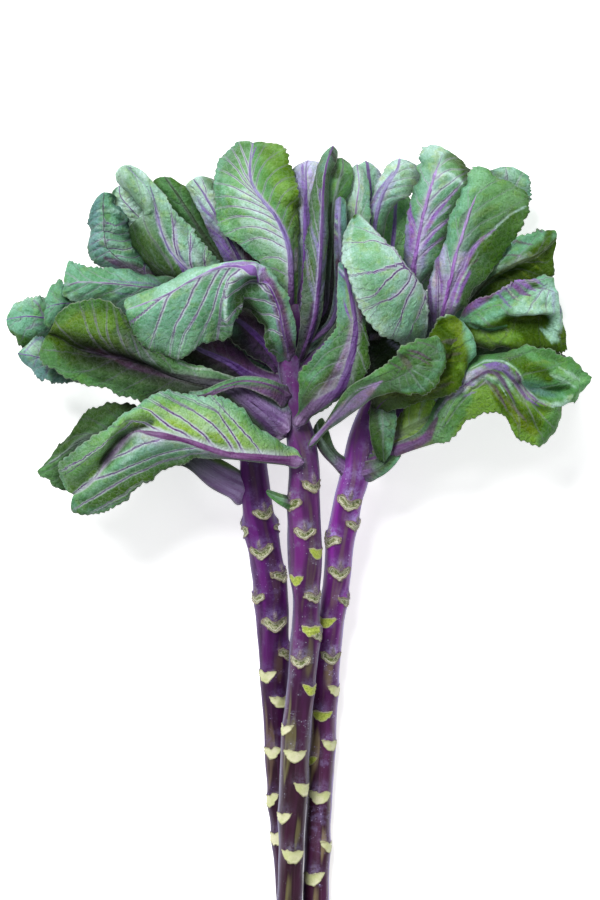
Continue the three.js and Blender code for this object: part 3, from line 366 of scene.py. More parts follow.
def midrib(s, colour, pale):
    """Midrib with faint lengthwise streaks between pale shoulders."""
    rib_away, rib_half, _ = s.parts("rib")
    tone = s.attribute("rib_tone", "Color")
    beside = s.math("DIVIDE", rib_away, rib_half)
    shoulder = s.band(beside, 0.9, 2.8, 0.8, 0.0)
    colour = s.mix(s.product(shoulder, pale), colour, VEIN_BAND)
    streaks = s.noise(s.times(s.attribute("streak"), (1.0, 0.05, 1.0)), 2.0, 2.0)
    dark = s.times(tone, (0.78, 0.62, 0.8))
    light = s.mix(0.16, s.times(tone, (1.22, 1.15, 1.25)), RIB_SHEEN)
    return s.mix(s.band(beside, 0.75, 1.15, 1.0, 0.0), colour, s.mix(s.band(streaks, 0.3, 0.7), light, dark))


def leaf_material():
    """Waxy blade: mottled tone, fine net, pale bands with purple veins, lilac midrib, margin."""
    s = Shader("kale_leaf")
    mm = s.position()
    phase, vein_mm, vein_size = s.parts("vein")
    purple, pale, flush = s.parts("amount")
    fork, margin_away, outward = s.parts("margin")
    middle = s.noise(mm, 5.5)
    fine = s.noise(mm, 1.5, 2.0)
    colour = mottled_blade(s, mm, s.attribute("tone", "Color"), middle, fine)

    # Fine net between the veins, and the quilted bulges that it draws.
    shaken = s.node("ShaderNodeTexNoise", {"Vector": mm, "Scale": 0.3, "Detail": 1.0}).outputs["Color"]
    moved = s.vector("ADD", mm, s.times(shaken, (5.0, 5.0, 5.0)))
    quilt = s.cells(moved, 5.0, "DISTANCE_TO_EDGE")
    net = s.band(quilt, 0.0, 0.1, 1.0, 0.0)
    net_small = s.band(s.cells(moved, 2.1, "DISTANCE_TO_EDGE"), 0.0, 0.16, 1.0, 0.0)
    colour = s.mix(s.product(net, s.math("MULTIPLY_ADD", pale, 0.1, 0.03)), colour, VEIN_BAND)
    colour = s.mix(s.product(net_small, 0.35), colour, s.times(colour, (1.4, 1.3, 1.4)))

    # Fine ribs that run beside the veins, then the veins, where the phase is a whole number.
    turned = s.math("ADD", phase, s.product(s.math("SUBTRACT", middle, 0.5), 0.16))
    fine_rib = s.band(s.middle_gap(s.product(turned, 5.0)), 0.0, 0.28, 1.0, 0.0)
    fine_rib = s.product(fine_rib, s.band(middle, 0.35, 0.6))
    colour = s.mix(s.product(fine_rib, 0.4), colour, s.times(colour, (1.3, 1.2, 1.34)))
    near = s.math("SUBTRACT", 0.5, s.middle_gap(turned))
    colour, lines = side_veins(s, colour, fine, near, vein_mm, vein_size, fork, outward, purple, pale)

    # Purple flush near the base and along the midrib.
    patches = s.band(middle, 0.3, 0.65, 0.4, 1.0)
    colour = s.mix(s.product(flush, patches), colour, FLUSH)
    colour = midrib(s, colour, pale)

    # Bloom and the thin margin. Deep between the leaves the blade gets painted shade, darker and greener.
    bloom = s.band(s.noise(mm, 13.0, 4.0, 0.65), 0.5, 0.75, 0.0, 0.5)
    colour = s.mix(bloom, colour, s.times(colour, (1.45, 1.28, 1.5)))
    colour = s.mix(s.band(margin_away, 0.2, 1.0, 0.5, 0.0), colour, MARGIN)
    colour = s.mix(s.parts("shade")[0], colour, s.mix(0.82, colour, PAINTED_SHADE_TINT))
    vivid = {"Color": colour, "Saturation": 1.13, "Value": 1.08}
    colour = s.node("ShaderNodeHueSaturation", vivid).outputs[0]

    height = s.math("MULTIPLY_ADD", fine, 0.35, s.product(middle, 0.9))
    height = s.math("MULTIPLY_ADD", s.band(quilt, 0.0, 0.45), 0.55, height)
    height = s.math("MULTIPLY_ADD", net_small, -0.12, height)
    height = s.math("MULTIPLY_ADD", lines, -0.3, height)
    return s.finish(colour, s.band(middle, 0.3, 0.7, 0.46, 0.62), height, 0.0013, 0.85, 0.16)


# ---- Leaf table, from the lowest layer to the highest ----------------------------------------
LOOK = {  # what a leaf looks like where its entry in the table says nothing else
    "veins": (8, 0.2),  # how many on a side, and how far they sweep towards the tip
    "vein_paths": "",  # drawn veins, which then take their place
    "vein_width": 1,
    "thin": 0,  # how much thinner the veins get towards the tip
    "purple": 0.5,  # strength of the purple veins; a pair is for the left and right halves
    "band": 0.4,  # strength of the pale bands along them, likewise
    "until": 2,  # share of the length where both fade; 2 is never
    "flush": 0.15,  # purple near the base
    "spine": "0,0 1,0",  # (u, v) of the line that the veins leave: u along the leaf, v from -1 to 1 across
    "rib": "violet",
    "rib_width": 1,
    "rib_end": 2,  # share of the length where the midrib ends; 2 is never
    "fade": 0.3,  # how pale it gets towards the tip
    "stalk": "stalk",
    "crown": 1.5,  # rise of each half, in millimetres
    "sink": 7,  # how far the base runs down
    "shade": 0.85,  # strength of the painted shade on a spot that lies deepest among the leaves
    "tip": "",  # tone that the leaf ends in
    # Spots and strokes paint the leaves' own colours, and also painted shade and painted light: dark tones
    # such as deep, dark and night in hollows, folds and gaps, pale ones on lit faces and fold edges.
    "spots": "",  # tone, share, and (u, v, their half sizes, edge): an edge of 2 is soft, more is sharper
    "strokes": "",  # tone, share, and (column, row, half width) of each point
    "folds": "",  # rise in millimetres, and a path like a stroke's
    "dents": "",  # (u, v, their half sizes, rise, edge)
    "wider": "",  # (u, v, their half sizes, how far the margin moves out, edge)
}


LEAVES = []


def leaf(name, grid, ruffle, left, middle, right, bulge=(0, 0), **look):
    """Adds a leaf: its frame node, grid (steps, lanes), wave height, and three lines from base to tip.

    A line's points are column, row and height. Each half may bulge, in millimetres.
    """
    lines = {"left": place(table(left)), "middle": place(table(middle)), "right": place(table(right))}
    look = {**LOOK, **look}
    LEAVES.append({"name": name, "grid": grid, "ruffle": ruffle, "bulge": bulge, "look": look, **lines})


leaf("leaf_under_left", (8, 4), 1.5,
    "252,478,43 232,446,16 190,420,6 160,385,0.8 150,345 170,315",
    "256,472,44 240,430,18 215,388,7 195,355,0.8 182,330 175,312",
    "262,466,43 268,405,18 262,365,8 240,325,0.8 210,310 180,310",
    tones="forest forest", veins=(8, 0.22))
leaf("leaf_under_right", (8, 4), 1.5,
    "366,452,44 405,432,16 450,405,6 478,370,0.8 485,335 480,305",
    "364,446,44 390,420,18 425,385,7 450,350,0.8 465,320 470,300",
    "362,440,44 375,410,16 392,372,6 405,340,0.8 425,310 455,298",
    tones="forest forest", veins=(8, 0.22))
leaf("leaf_under_middle", (7, 4), 1.5,
    "286,352,68 262,312,44 250,275,24 255,240,12 285,215,8",
    "290,352,68 290,310,44 295,270,24 305,235,12 318,208,8",
    "294,352,68 320,312,44 345,275,24 355,240,12 350,215,8",
    tones="forest forest", veins=(8, 0.22))
leaf("leaf_back_right", (7, 4), 2.5,
    "378,399,50 440,330,24 455,270,20 470,215,26 480,180,34 490,169,36",
    "381,396,50 445,332,24 470,270,22 495,215,30 508,185,40 507,165,38",
    "384,393,50 450,335,24 488,270,20 520,215,28 533,190,38 527,171",
    tones="glaucous pale pale glaucous", purple=0.1, band=0.6, rib="pale", rib_width=0.4,
    vein_paths="""
    500,200 497,180 492,168; 505,200 506,180 508,166; 510,200 518,182 524,170; 514,205 524,192 530,186;
    498,205 488,188 482,178""")
leaf("leaf_back_dark_right", (7, 4), 2,
    "380,388,54 373,325,40 374,275,42 376,235,46 380,208,48 390,195,46",
    "384,387,54 380,325,42 388,275,46 394,235,50 396,203,52 398,190,48",
    "388,386,54 388,325,40 402,275,42 412,235,46 414,205,48 408,194,46",
    tones="glaucous_light leaf_light leaf_light leaf_light", veins=(8, 0.22), purple=0.1, band=0.15,
    shade=0.1,
    spots="deep 0.8 0.4,0.3,0.2,0.4,2")
leaf("leaf_back_pale_slip", (7, 4), 2,
    "374,385,56 358,310,46 358,240,50 360,195,54 356,168 359,164,52",
    "378,384,56 364,310,48 366,240,54 370,195,58 368,166 366,160,54",
    "382,383,56 370,310,46 376,240,50 382,195,54 381,174 373,163,52",
    tones="mist pale pale lilac_pale", veins=(7, 0.25), purple=0.3, shade=0.35)
leaf("leaf_back_dark_left", (9, 4), 2.5,
    "283,325,74 245,302,50 215,274,38 190,245,32 165,212,30 154,190,32 152,177,34",
    "286,322,74 250,297,52 228,268,42 208,242,38 190,214,36 176,192,38 164,175",
    "289,318,74 256,292,50 240,262,40 224,238,34 212,212,32 198,193,34 184,182,36",
    tones="forest leaf leaf forest", veins=(8, 0.22), purple=0.1, band=0.1, rib="forest", fade=0.1,
    spots="leaf 0.6 0.62,0,0.14,0.8,2; deep 0.6 0.35,0,0.12,0.8,2; olive 0.6 0.95,0.5,0.12,0.5,2")
leaf("leaf_left_pale_lobe", (7, 4), 2.5,
    "282,352,72 232,302,40 162,256,22 128,224 114,208,26 113,197,30 113,188,32",
    "285,348,72 236,298,41 168,248,24 144,222,28 128,205,34 120,195 118,184,33",
    "288,344,72 240,294,40 174,240,22 160,215,26 146,205,30 138,193,32 125,183,33",
    tones="pale mist mist pale", veins=(18, 0.1), purple=0.4, rib="grey_lilac", rib_width=0.3, fade=0,
    vein_width=0.7, shade=0,
    wider="0.55,-1,0.35,0.6,7,2")
leaf("leaf_left_round_tip", (8, 6), 2.5,
    "250,452,46 190,390,36 110,352,34 66,348,38 44,343,42 24,347 8,332,40",
    "252,447,46 192,384,37 110,336,38 66,322,44 42,317,50 22,316,48 5,319,42",
    "254,442,46 194,378,36 110,322,34 62,303,38 44,297,44 24,299 10,307,40",
    tones="deep glaucous glaucous pale", purple=0.3, band=0.2, rib_width=0.3, fade=0,
    strokes="""
    violet 0.6 42,316,1 38,306 33,300,0.8;
    deep 0.5 12,335,4 25,340 38,338;
    forest 0.85 10,330,1 20,338,3.4 30,343,4 38,340,2;
    grey_lilac 0.5 26,327,1 34,324,2 41,322,1""")
leaf("leaf_left_slip", (7, 4), 2,
    "282,378,70 220,350,46 150,330,44 105,320,48 70,320,54 55,324,56 43,329,54",
    "284,374,70 222,345,47 152,324,46 107,308,52 72,303,58 56,304,60 45,308,56",
    "286,370,70 224,340,46 154,318,44 108,298,48 72,290,54 60,281,56 48,284,54",
    tones="glaucous glaucous", purple=0.2, band=0.2, rib_width=0.3, fade=0)
leaf("leaf_left_bluish_tip", (8, 6), 3,
    "248,466,52 192,416,48 140,391,50 90,384,54 60,382,58 38,376,60 20,360,58",
    "250,461,52 194,411,49 142,387,52 92,374,60 60,364,66 38,357 17,353,59",
    "252,456,52 196,406,48 144,376,50 94,358,56 62,342,62 40,335 25,345,58",
    tones="bluish bluish glaucous_light bluish", veins=(16, 0.1), purple=0.4, band=0.3, rib_width=0.3,
    fade=0,
    strokes="""
    mist 0.7 30,345,6 42,350,7 50,362,6;
    violet 0.6 46,332,1 34,342 24,352,0.8;
    violet 0.5 48,338,1 40,350 34,365,0.8;
    violet 0.5 52,342,1 48,356 46,372,0.8""")
leaf("leaf_right_low_dark", (8, 4), 2.5,
    "369,446,56 430,422,50 470,411,54 510,404,58 540,397,56 560,386,52",
    "368,441,56 432,407,52 472,380,60 512,372,66 545,372,62 566,370,54",
    "367,436,56 434,394,50 474,355,56 514,346,60 550,350,58 570,357,52",
    tones="glaucous green glaucous leaf", veins=(8, 0.22), purple=0.1, band=0.2,
    wider="0.5,1,0.22,0.5,8,2",
    spots="deep 0.8 0.5,1,0.2,0.4,2")
leaf("leaf_left_ruffled", (12, 6), 2.5,
    "284,344,78 240,322,54 198,304,44 160,291,38 125,273,34 96,262,32 86,245,34 87,222,38 91,205,44 "
    "97,195,46",
    "286,340,78 242,317,56 200,298,46 160,285,42 130,266,40 110,252 104,238,44 103,222,46 102,206 103,191",
    "288,336,78 244,312,54 202,292,44 163,279,38 157,268,34 152,262,28 131,236 123,216 115,200,34 "
    "109,192,42",
    tones="bluish bluish glaucous bluish", purple=0.8, band=0.45, vein_width=0.8, rib="grey_green",
    rib_width=0.25, fade=0, shade=0.7,
    vein_paths="""
    118,198 108,202 100,200 94,205; 120,205 110,209 101,207 92,212; 122,213 112,216 102,214 91,219;
    124,221 114,224 103,222 91,227; 127,229 116,233 105,230 92,235; 130,237 119,241 108,239 94,243;
    134,245 122,249 111,247 97,251; 139,253 127,257 116,255 102,258; 128,200 134,212 136,224; 132,212
    140,230 146,246""",
    folds="""
    1.6 94,206,2 106,205 116,212;
    -1.4 93,214,2 106,214 120,220;
    1.6 93,222,2 108,224 124,230;
    -1.4 93,230,2 110,233 128,239;
    1.6 95,238,2 112,242 132,248;
    -1.4 98,246,2 116,251 136,257""",
    wider="0.7,1,0.35,0.5,6,2",
    strokes="""
    mist 0.45 96,210,1 108,209,2.2 118,214,1;
    mist 0.45 96,226,1 110,228,2.2 124,233,1;
    mist 0.4 100,242,1 116,245,2.2 132,251,1;
    plum 0.85 104,256,1.5 122,264,4 142,272,4.6 160,280,3;
    dark 0.5 130,262,1 148,270,2 165,279""",
    spots="pale 0.4 0.68,0,0.1,0.3,2")
# leaf_left_rolled: the forest tones of its left half and the deep stroke along it are painted shade on the
# half that lies in shadow.
leaf("leaf_left_rolled", (13, 6), 1.5,
    "283,332,78 240,310,56 205,292,48 180,282,42 157,275,36 138,251,34 129,226,36 144,212,47 128,191,51 "
    "112,173,52",
    "286,328,78 244,304,58 214,284,54 190,272 172,255 163,236 157,214,56 152,201,58 144,184,60 125,164,56",
    "289,324,78 248,298,56 226,274,54 216,257 203,241,56 190,226,58 173,206,60 164,194,61 155,184,62 "
    "140,168,58",
    bulge=(6, 2), tones="forest forest glaucous glaucous_light", purple=(0.3, 0.9), band=(0.15, 1),
    rib="lilac", tip="mist", vein_width=1.3, rib_width=0.8,
    vein_paths="""
    187,275 182,262 172,246 160,228 155,212 154,195 149,180; 189,270 178,256 174,240 173,225 171,210;
    195,274 190,262 190,246 191,230; 205,272 204,256 208,240""",
    wider="0.96,-1,0.06,0.5,5,2",
    strokes="""
    pale 0.7 150,185,6 162,205,7 180,225 195,245 210,262,5;
    mist 0.5 185,262,3 178,240 176,222,2.5;
    mist 0.5 198,268,2 196,250,2.5;
    mist 0.5 165,230,2 158,210,2.5 155,190,2;
    violet 0.8 186,276,2 176,256,1.8 164,236,1.6 157,220 155,205,1.2;
    violet 0.7 187,268,1.6 177,254 174,238,1.4 173,218,1.2;
    lilac 0.8 192,270,1.6 190,255,1.5 191,236,1.1;
    lilac 0.5 188,272,3 182,262,2.5;
    forest 0.6 140,235,8 155,255 165,270,6;
    leaf_light 0.4 135,180,8 140,195,6;
    deep 0.8 132,224,5 142,242,9 156,260 170,274,7;
    forest 0.6 128,200,3 134,212,4;
    mist 0.5 190,250,6 205,262,5;
    lilac_pale 0.6 176,262,2 168,246 160,232;
    lilac_pale 0.6 178,250,1.6 176,236 175,222,1.4;
    grey_green 0.6 176,273,0.5 158,250,0.9 142,230,0.5;
    grey_green 0.6 170,276,0.5 152,262,0.9 140,250,0.5;
    grey_green 0.6 180,270,0.5 168,245,0.9 158,222,0.5;
    grey_green 0.5 172,272,0.5 158,262,0.8 148,240,0.5;
    green 0.45 196,232,3 205,245,4 212,258,2;
    grey_green 0.4 172,215,2 190,240,4 204,262,3;
    leaf 0.4 128,178,3 140,196,4 150,214,2;
    violet 0.8 150,186,0.4 157,208,1.1 161,230,1.2 171,252,1.3 183,272,1.2;
    violet 0.7 171,212,0.4 174,234,1 180,254,1.1 190,273,1;
    green 0.5 160,216,1 168,236,3 178,258,2;
    mist 0.5 154,190,0.4 161,210,0.8 165,230 175,252""",
    spots="lilac 0.5 0.55,0.02,0.3,0.1,2")
leaf("leaf_purple_rolled", (9, 6), 1.5,
    "285,318,80 258,300,60 232,272,54 216,245,52 203,220 191,195,54 184,184",
    "287,314,80 263,294,62 244,266,58 230,240 216,214 203,192 193,178,56",
    "290,310,80 269,288,60 264,262,52 260,242,46 242,213,44 225,190,46 204,173,50",
    bulge=(2, 4), tones="lilac violet plum dark", veins=(8, 0.3), purple=0.8, band=0.8, tip="mist",
    strokes="""
    violet 0.9 198,196,1.2 204,208,1.8 214,217;
    mist 0.7 196,186,5 204,198 212,208,4;
    green 0.8 205,178,4 212,186;
    mist 0.5 214,222,1.2 222,232,1.3 230,246,1.2;
    lilac 0.6 204,216,1 212,228,3.4 222,244,4.4 234,262,5;
    violet 0.8 206,225,0.5 213,230,1.8 222,237,1.4 228,243,0.4;
    violet 0.75 214,238,0.5 223,246,2.8 231,256,3.4 237,265,2;
    lilac_pale 0.5 208,234,0.4 217,248,1.2 226,263,1;
    stalk 0.5 222,240,0.4 230,250,1 238,264,0.8""",
    spots="pale 0.5 0.75,-0.4,0.12,0.5,2")
leaf("leaf_left_horizontal", (10, 6), 3,
    "284,364,80 250,338,66 212,322,62 170,314,64 130,316,66 100,308 76,302,64 60,296,60",
    "286,360,80 253,332,68 216,310,65 172,291,70 135,286,76 105,283,78 80,282,74 64,286,66",
    "289,355,80 256,326,66 220,302,62 176,284,66 142,273 108,269 84,266,64 67,259,60",
    tones="pale glaucous glaucous glaucous", veins=(13, 0.15), purple=0.25, band=0.35, rib="grey_lilac",
    vein_width=0.8, rib_width=0.3,
    wider="0.5,1,0.2,0.5,5,2",
    strokes="""
    violet 0.6 160,285,1.2 145,275,1 130,270,0.8 112,268;
    violet 0.6 165,289,1.2 150,284,1 130,283,0.8 108,281;
    violet 0.5 160,291,1 135,294,0.8 112,292;
    glaucous 0.6 90,275,8 130,272 160,280,6""",
    spots="grey_green 0.8 0.45,0.8,0.12,0.4,2")
leaf("leaf_left_inner", (8, 4), 2,
    "283,394,80 248,384,72 222,380,74 195,379,76 178,373 166,360",
    "285,389,80 252,377,73 228,362,77 205,352,81 190,345,82 175,340,78",
    "288,384,80 256,369,72 240,350,74 225,335,76 206,326,78 187,326,76",
    tones="green dark plum plum_dark", veins=(8, 0.25), purple=0.3, band=0.15, flush=0.5,
    wider="0.15,-1,0.2,0.8,6,2 0.15,1,0.2,0.8,3",
    spots="glaucous 0.8 0.9,0.5,0.15,0.5,2; lilac 0.5 0.6,-1,0.3,0.3,2")
# leaf_left_inner_dark: its near-black tones are painted shade where it shows between the leaves above it.
leaf("leaf_left_inner_dark", (7, 4), 2,
    "283,376,79 262,362,78 240,348,82 222,330,86 210,318",
    "285,371,80 268,348 250,330,86 232,316,90 216,308,87",
    "288,366,79 276,336,78 260,316,80 240,305,84 222,302",
    tones="night night plum deep", veins=(8, 0.25), purple=0.2, band=0.1, flush=0.5,
    spots="glaucous 0.8 0.7,-0.5,0.08,0.3,2")
leaf("leaf_right_round_pale", (9, 6), 2.5,
    "374,381,60 364,330 364,280,66 366,240,72 369,212,74 376,188,72 386,168,68 393,160,64",
    "378,380,60 370,330,62 371,280,70 373,240,78 378,208,82 387,186 397,170,76 400,158,66",
    "382,379,60 377,330 380,280,67 383,240,73 390,208,76 410,188,74 420,172,68 409,160,64",
    tones="lilac_pale pale glaucous grey_green", purple=0.35, band=0.5, rib="lilac", tip="mist",
    vein_paths="""
    369,224 378,214 388,208; 371,212 380,203 390,197 402,194; 374,202 384,192 396,187 412,184; 379,192
    390,183 402,179 418,176; 386,183 395,174 406,169 416,167; 391,175 398,167 406,162""",
    wider="0.78,1,0.2,0.6,5,2",
    strokes="""
    violet 0.8 369,224,2.2 372,208,2 379,193,1.6 388,181,1.3 394,172,1;
    lilac 0.6 375,212,4 383,194 392,182,3;
    mist 0.5 402,170,8 412,178,5""",
    spots="leaf 0.6 0.45,0,0.12,1,2")
leaf("leaf_right_pale_upright", (8, 4), 2.5,
    "297,360,72 328,328,66 345,285,72 344,245,78 343,212,80 348,185,76 352,167,72",
    "299,364,72 334,331,68 354,283,78 356,243,86 356,210,88 359,185,84 357,164,74",
    "301,368,72 340,334,66 364,281,72 368,243,78 370,212,80 369,185,76 362,167,72",
    tones="glaucous mist mist glaucous", veins=(9, 0.22), purple=0.2, band=0.7, rib="pink_grey",
    rib_width=0.4, shade=0.5,
    strokes="""
    mist 0.8 352,172,6 354,200;
    glaucous 0.7 364,178,3.5 365,212,4;
    vein_white 0.7 362,170,0.9 361,200;
    lilac 0.6 345,212,1.3 348,226;
    bluish 0.7 345,200,3 347,222""",
    spots="deep 0.6 0.3,0,0.3,1,2")
leaf("leaf_right_folded", (9, 6), 3,
    "379,418,62 412,384,58 440,350 470,312,64 492,296,72 520,284,76 547,278,74 556,250,68",
    "378,414,62 409,380,59 444,344,62 472,300,70 490,280,78 515,265,84 538,255,82 557,238,72",
    "377,410,62 406,376,58 448,338,60 474,288,66 488,266,74 503,245,78 530,233,76 558,229,68",
    tones="moss moss green leaf", veins=(10, 0.2), purple=(0.3, 0.3), band=(0.25, 0.15), rib="moss",
    fade=0, vein_width=0.8,
    folds="""
    4 488,272,4 505,264,5 525,256 540,246;
    -3 500,282,6 520,274;
    3 505,246,4 525,238;
    -2 500,250,3 520,248""",
    dents="0.75,-0.45,0.3,0.4,-6,3",
    strokes="""
    glaucous 0.85 486,268,4 500,254,8 520,242,10 542,232,6;
    moss 0.95 484,290,6 505,280,8 525,268,9 542,252;
    leaf 0.7 480,285,7 492,272;
    plum 0.7 503,256,0.9 512,256,1 522,258,0.9;
    plum 0.8 505,244,0.9 518,243,1.1 532,246,0.9;
    plum 0.8 512,232,0.9 526,231,1.1 542,232,0.9;
    mist 0.35 485,275,1 500,268,1.4 515,262,1.3 530,255,1;
    lime 0.7 508,268,1 520,272,1.2 532,280,1;
    lime 0.7 520,262,1 532,264,1.2 542,270,1;
    lime 0.7 528,256,1 538,257,1.2 546,262,1;
    lime 0.6 498,274,1 510,280,1.2 522,288,1;
    moss 0.9 549,232,4 546,244""",
    spots="plum 0.6 0.1,0,0.15,0.5,2; glaucous 0.5 0.85,0.5,0.2,0.3,2")
# leaf_inner_right: its near-black tones are painted shade where it shows between the leaves above it.
leaf("leaf_inner_right", (7, 4), 2,
    "372,412,64 350,385 345,355,68 352,328,72 362,308,70",
    "375,408,64 362,380,67 366,350,72 370,320,76 375,300,72",
    "378,404,64 375,376 392,350,68 395,320,72 388,302,70",
    tones="dark night dark deep", veins=(8, 0.22), purple=0.1, band=0.1, rib="dark", fade=0, shade=0.6,
    wider="0.5,1,0.4,0.6,6,2 0.5,-1,0.4,0.6,4",
    strokes="""
    pink_grey 0.9 361,352,1.6 363,343,2.2 369,337,2.6 378,336,2.2;
    lilac_pale 0.8 384,340,1 392,350,1.3 400,360,1.2;
    deep 0.8 374,348,3 378,358,4 380,372;
    forest 0.6 358,328,5 366,322;
    grey_green 0.6 380,345,0.9 385,355,1 388,366,0.9;
    grey_green 0.5 371,345,0.9 372,356,1 372,368,0.9""",
    spots="glaucous 0.8 0.95,0.6,0.1,0.5,2")
leaf("leaf_purple_ribbed", (10, 6), 2.5,
    "380,396,66 398,330,68 402,285,78 404,250,84 409,215,86 419,183,84 423,155,78 432,142,72",
    "383,398,66 404,332,70 411,283,84 416,252,94 422,218,98 429,190 438,165,88 445,149,76",
    "386,400,66 410,334,68 430,284,78 446,246,84 458,215,86 469,188,84 468,166,76 456,155,72",
    tones="glaucous glaucous glaucous leaf", purple=(0.5, 0.6), band=(0.6, 0.7), rib="orchid_light",
    flush=0.2, rib_width=1.4, until=1, vein_width=1.5, rib_end=0.97, thin=0.3,
    vein_paths="""
    418,240 412,218 409,190; 423,215 418,195 417,175; 429,190 424,172 423,155; 421,232 432,212 446,198;
    424,212 436,194 452,182; 418,248 430,232 446,220; 416,262 428,248 444,238; 432,182 446,172 460,170;
    437,168 448,160 458,158""",
    folds="-3 414,262,5 421,222 429,190,4 440,160,3; 3 436,176,4 446,178,5 460,186",
    wider="0.75,-1,0.15,0.5,5,2",
    strokes="""
    mist 0.6 424,150,6 430,148,8 438,152,6;
    leaf 0.5 408,215,6 405,235;
    green 0.7 445,240,9 450,215 455,200,6;
    lilac 0.8 411,264,5 409,245 408,228,3.5;
    lilac 0.8 417,262,8 420,240,7 423,220,5 427,200,3;
    lilac 0.8 413,244,3 413,222,2.4 411,203,1.6 409,190,1;
    mist 0.9 430,196,1.2 440,187,1.6 452,182,1.8;
    mist 0.95 434,178,1.3 446,175,2 460,184;
    lilac_pale 0.7 422,236,1.4 433,219 448,206,1;
    moss 0.8 450,158,6 460,163,9 466,172,7;
    leaf_light 0.6 445,165,4 456,172,5;
    orchid 0.95 413,250,2.8 413,225 411,205,1.96 409,190,1.26;
    orchid 0.95 421,236,2.24 432,217,2.1 445,201,1.68 455,190,1.26;
    orchid 0.95 421,246,2.1 434,230,1.82 447,220,1.4;
    orchid 0.95 419,258,1.96 431,246,1.68 442,238,1.26""",
    spots="""
    mist 0.6 0.9,0,0.16,0.9,2; green 0.7 0.4,0.6,0.25,0.22,2; lilac 0.7 0.45,0,0.3,0.22,2; forest 0.7
    0.8,0.95,0.2,0.3,3; deep 0.6 0.35,-0.8,0.2,0.3,2""")
leaf("leaf_right_big", (12, 6), 3,
    "381,403,64 410,362,66 424,325,78 426,288,88 440,248,92 453,210,90 464,182,84 476,168,76",
    "382,408,64 420,357,70 440,320,86 449,285,98 457,250,104 468,215 480,190,96 497,178,84",
    "383,412,64 428,352,66 458,315,80 474,292,86 501,257,84 522,227,80 531,204,74 527,191",
    tones="glaucous glaucous green forest", purple=(0.7, 0.5), band=(0.7, 0.4), rib="orchid_light",
    flush=0.1, fade=0.5, until=0.75, rib_width=1.1, vein_width=2.1, rib_end=0.85, thin=0.75,
    vein_paths="""
    432,318 429,295 426,272; 438,308 439,280 436,250; 450,278 448,255 445,235; 458,240 456,220 455,200;
    468,210 468,192 470,176; 448,302 458,278 467,258; 453,280 466,256 484,236; 461,243 477,226 499,214;
    467,220 484,204 505,192; 476,195 490,184 505,178""",
    folds="""
    -2.5 440,317,6 452,265,5 465,222,4 478,192,3;
    -1.5 450,298,4 463,260,3 480,236;
    2.5 500,215,8 488,245,9""",
    wider="0.25,-1,0.12,0.5,4,2",
    strokes="""
    forest 0.9 516,212,6 500,236,8 484,268,9 470,300 462,314,6;
    green 0.5 480,255,8 470,285;
    leaf_light 0.5 475,170,12 500,190,16 515,195,14;
    lilac_pale 0.95 428,318,8 433,300,9 438,280,8 441,262,6 442,248,4;
    lilac_pale 0.9 446,312,8 452,288 459,268,6 464,256,4;
    orchid 0.95 441,318,8.7 446,300,7.25 450,280,5.8;
    plum 0.7 462,268,1.4 470,263 476,259,0.9;
    plum 0.5 458,286,1.2 466,281,1;
    mist 0.8 484,238,0.8 496,224,0.9 510,214,1 526,206,0.9;
    lime 0.4 478,215,3 490,208;
    orchid 0.95 431,318,2.9 430,298 428,280,2.03;
    orchid 0.95 439,306,3.19 440,282,3.48 438,262,2.32 436,250,1.45;
    orchid 0.95 456,300,1.74 462,285,1.885 468,272,1.45;
    orchid 0.9 449,306,3 457,281,3.2 464,264,2.4 473,248,1.8 484,236,1.1 495,227,0.4;
    mist 0.5 452,306,0.5 461,281,1 468,266,0.9 477,251,0.5;
    plum 0.4 458,230,0.8 464,217,2.6 469,208,0.8;
    olive 0.4 470,262,2 482,246,4 492,232,3""",
    spots="""
    violet 0.6 0.26,-0.2,0.2,0.4,2; lilac 0.6 0.3,0.12,0.25,0.1,2; leaf_light 0.45 0.85,0,0.2,0.9,2;
    forest 0.6 0.97,0.8,0.1,0.4,2""")
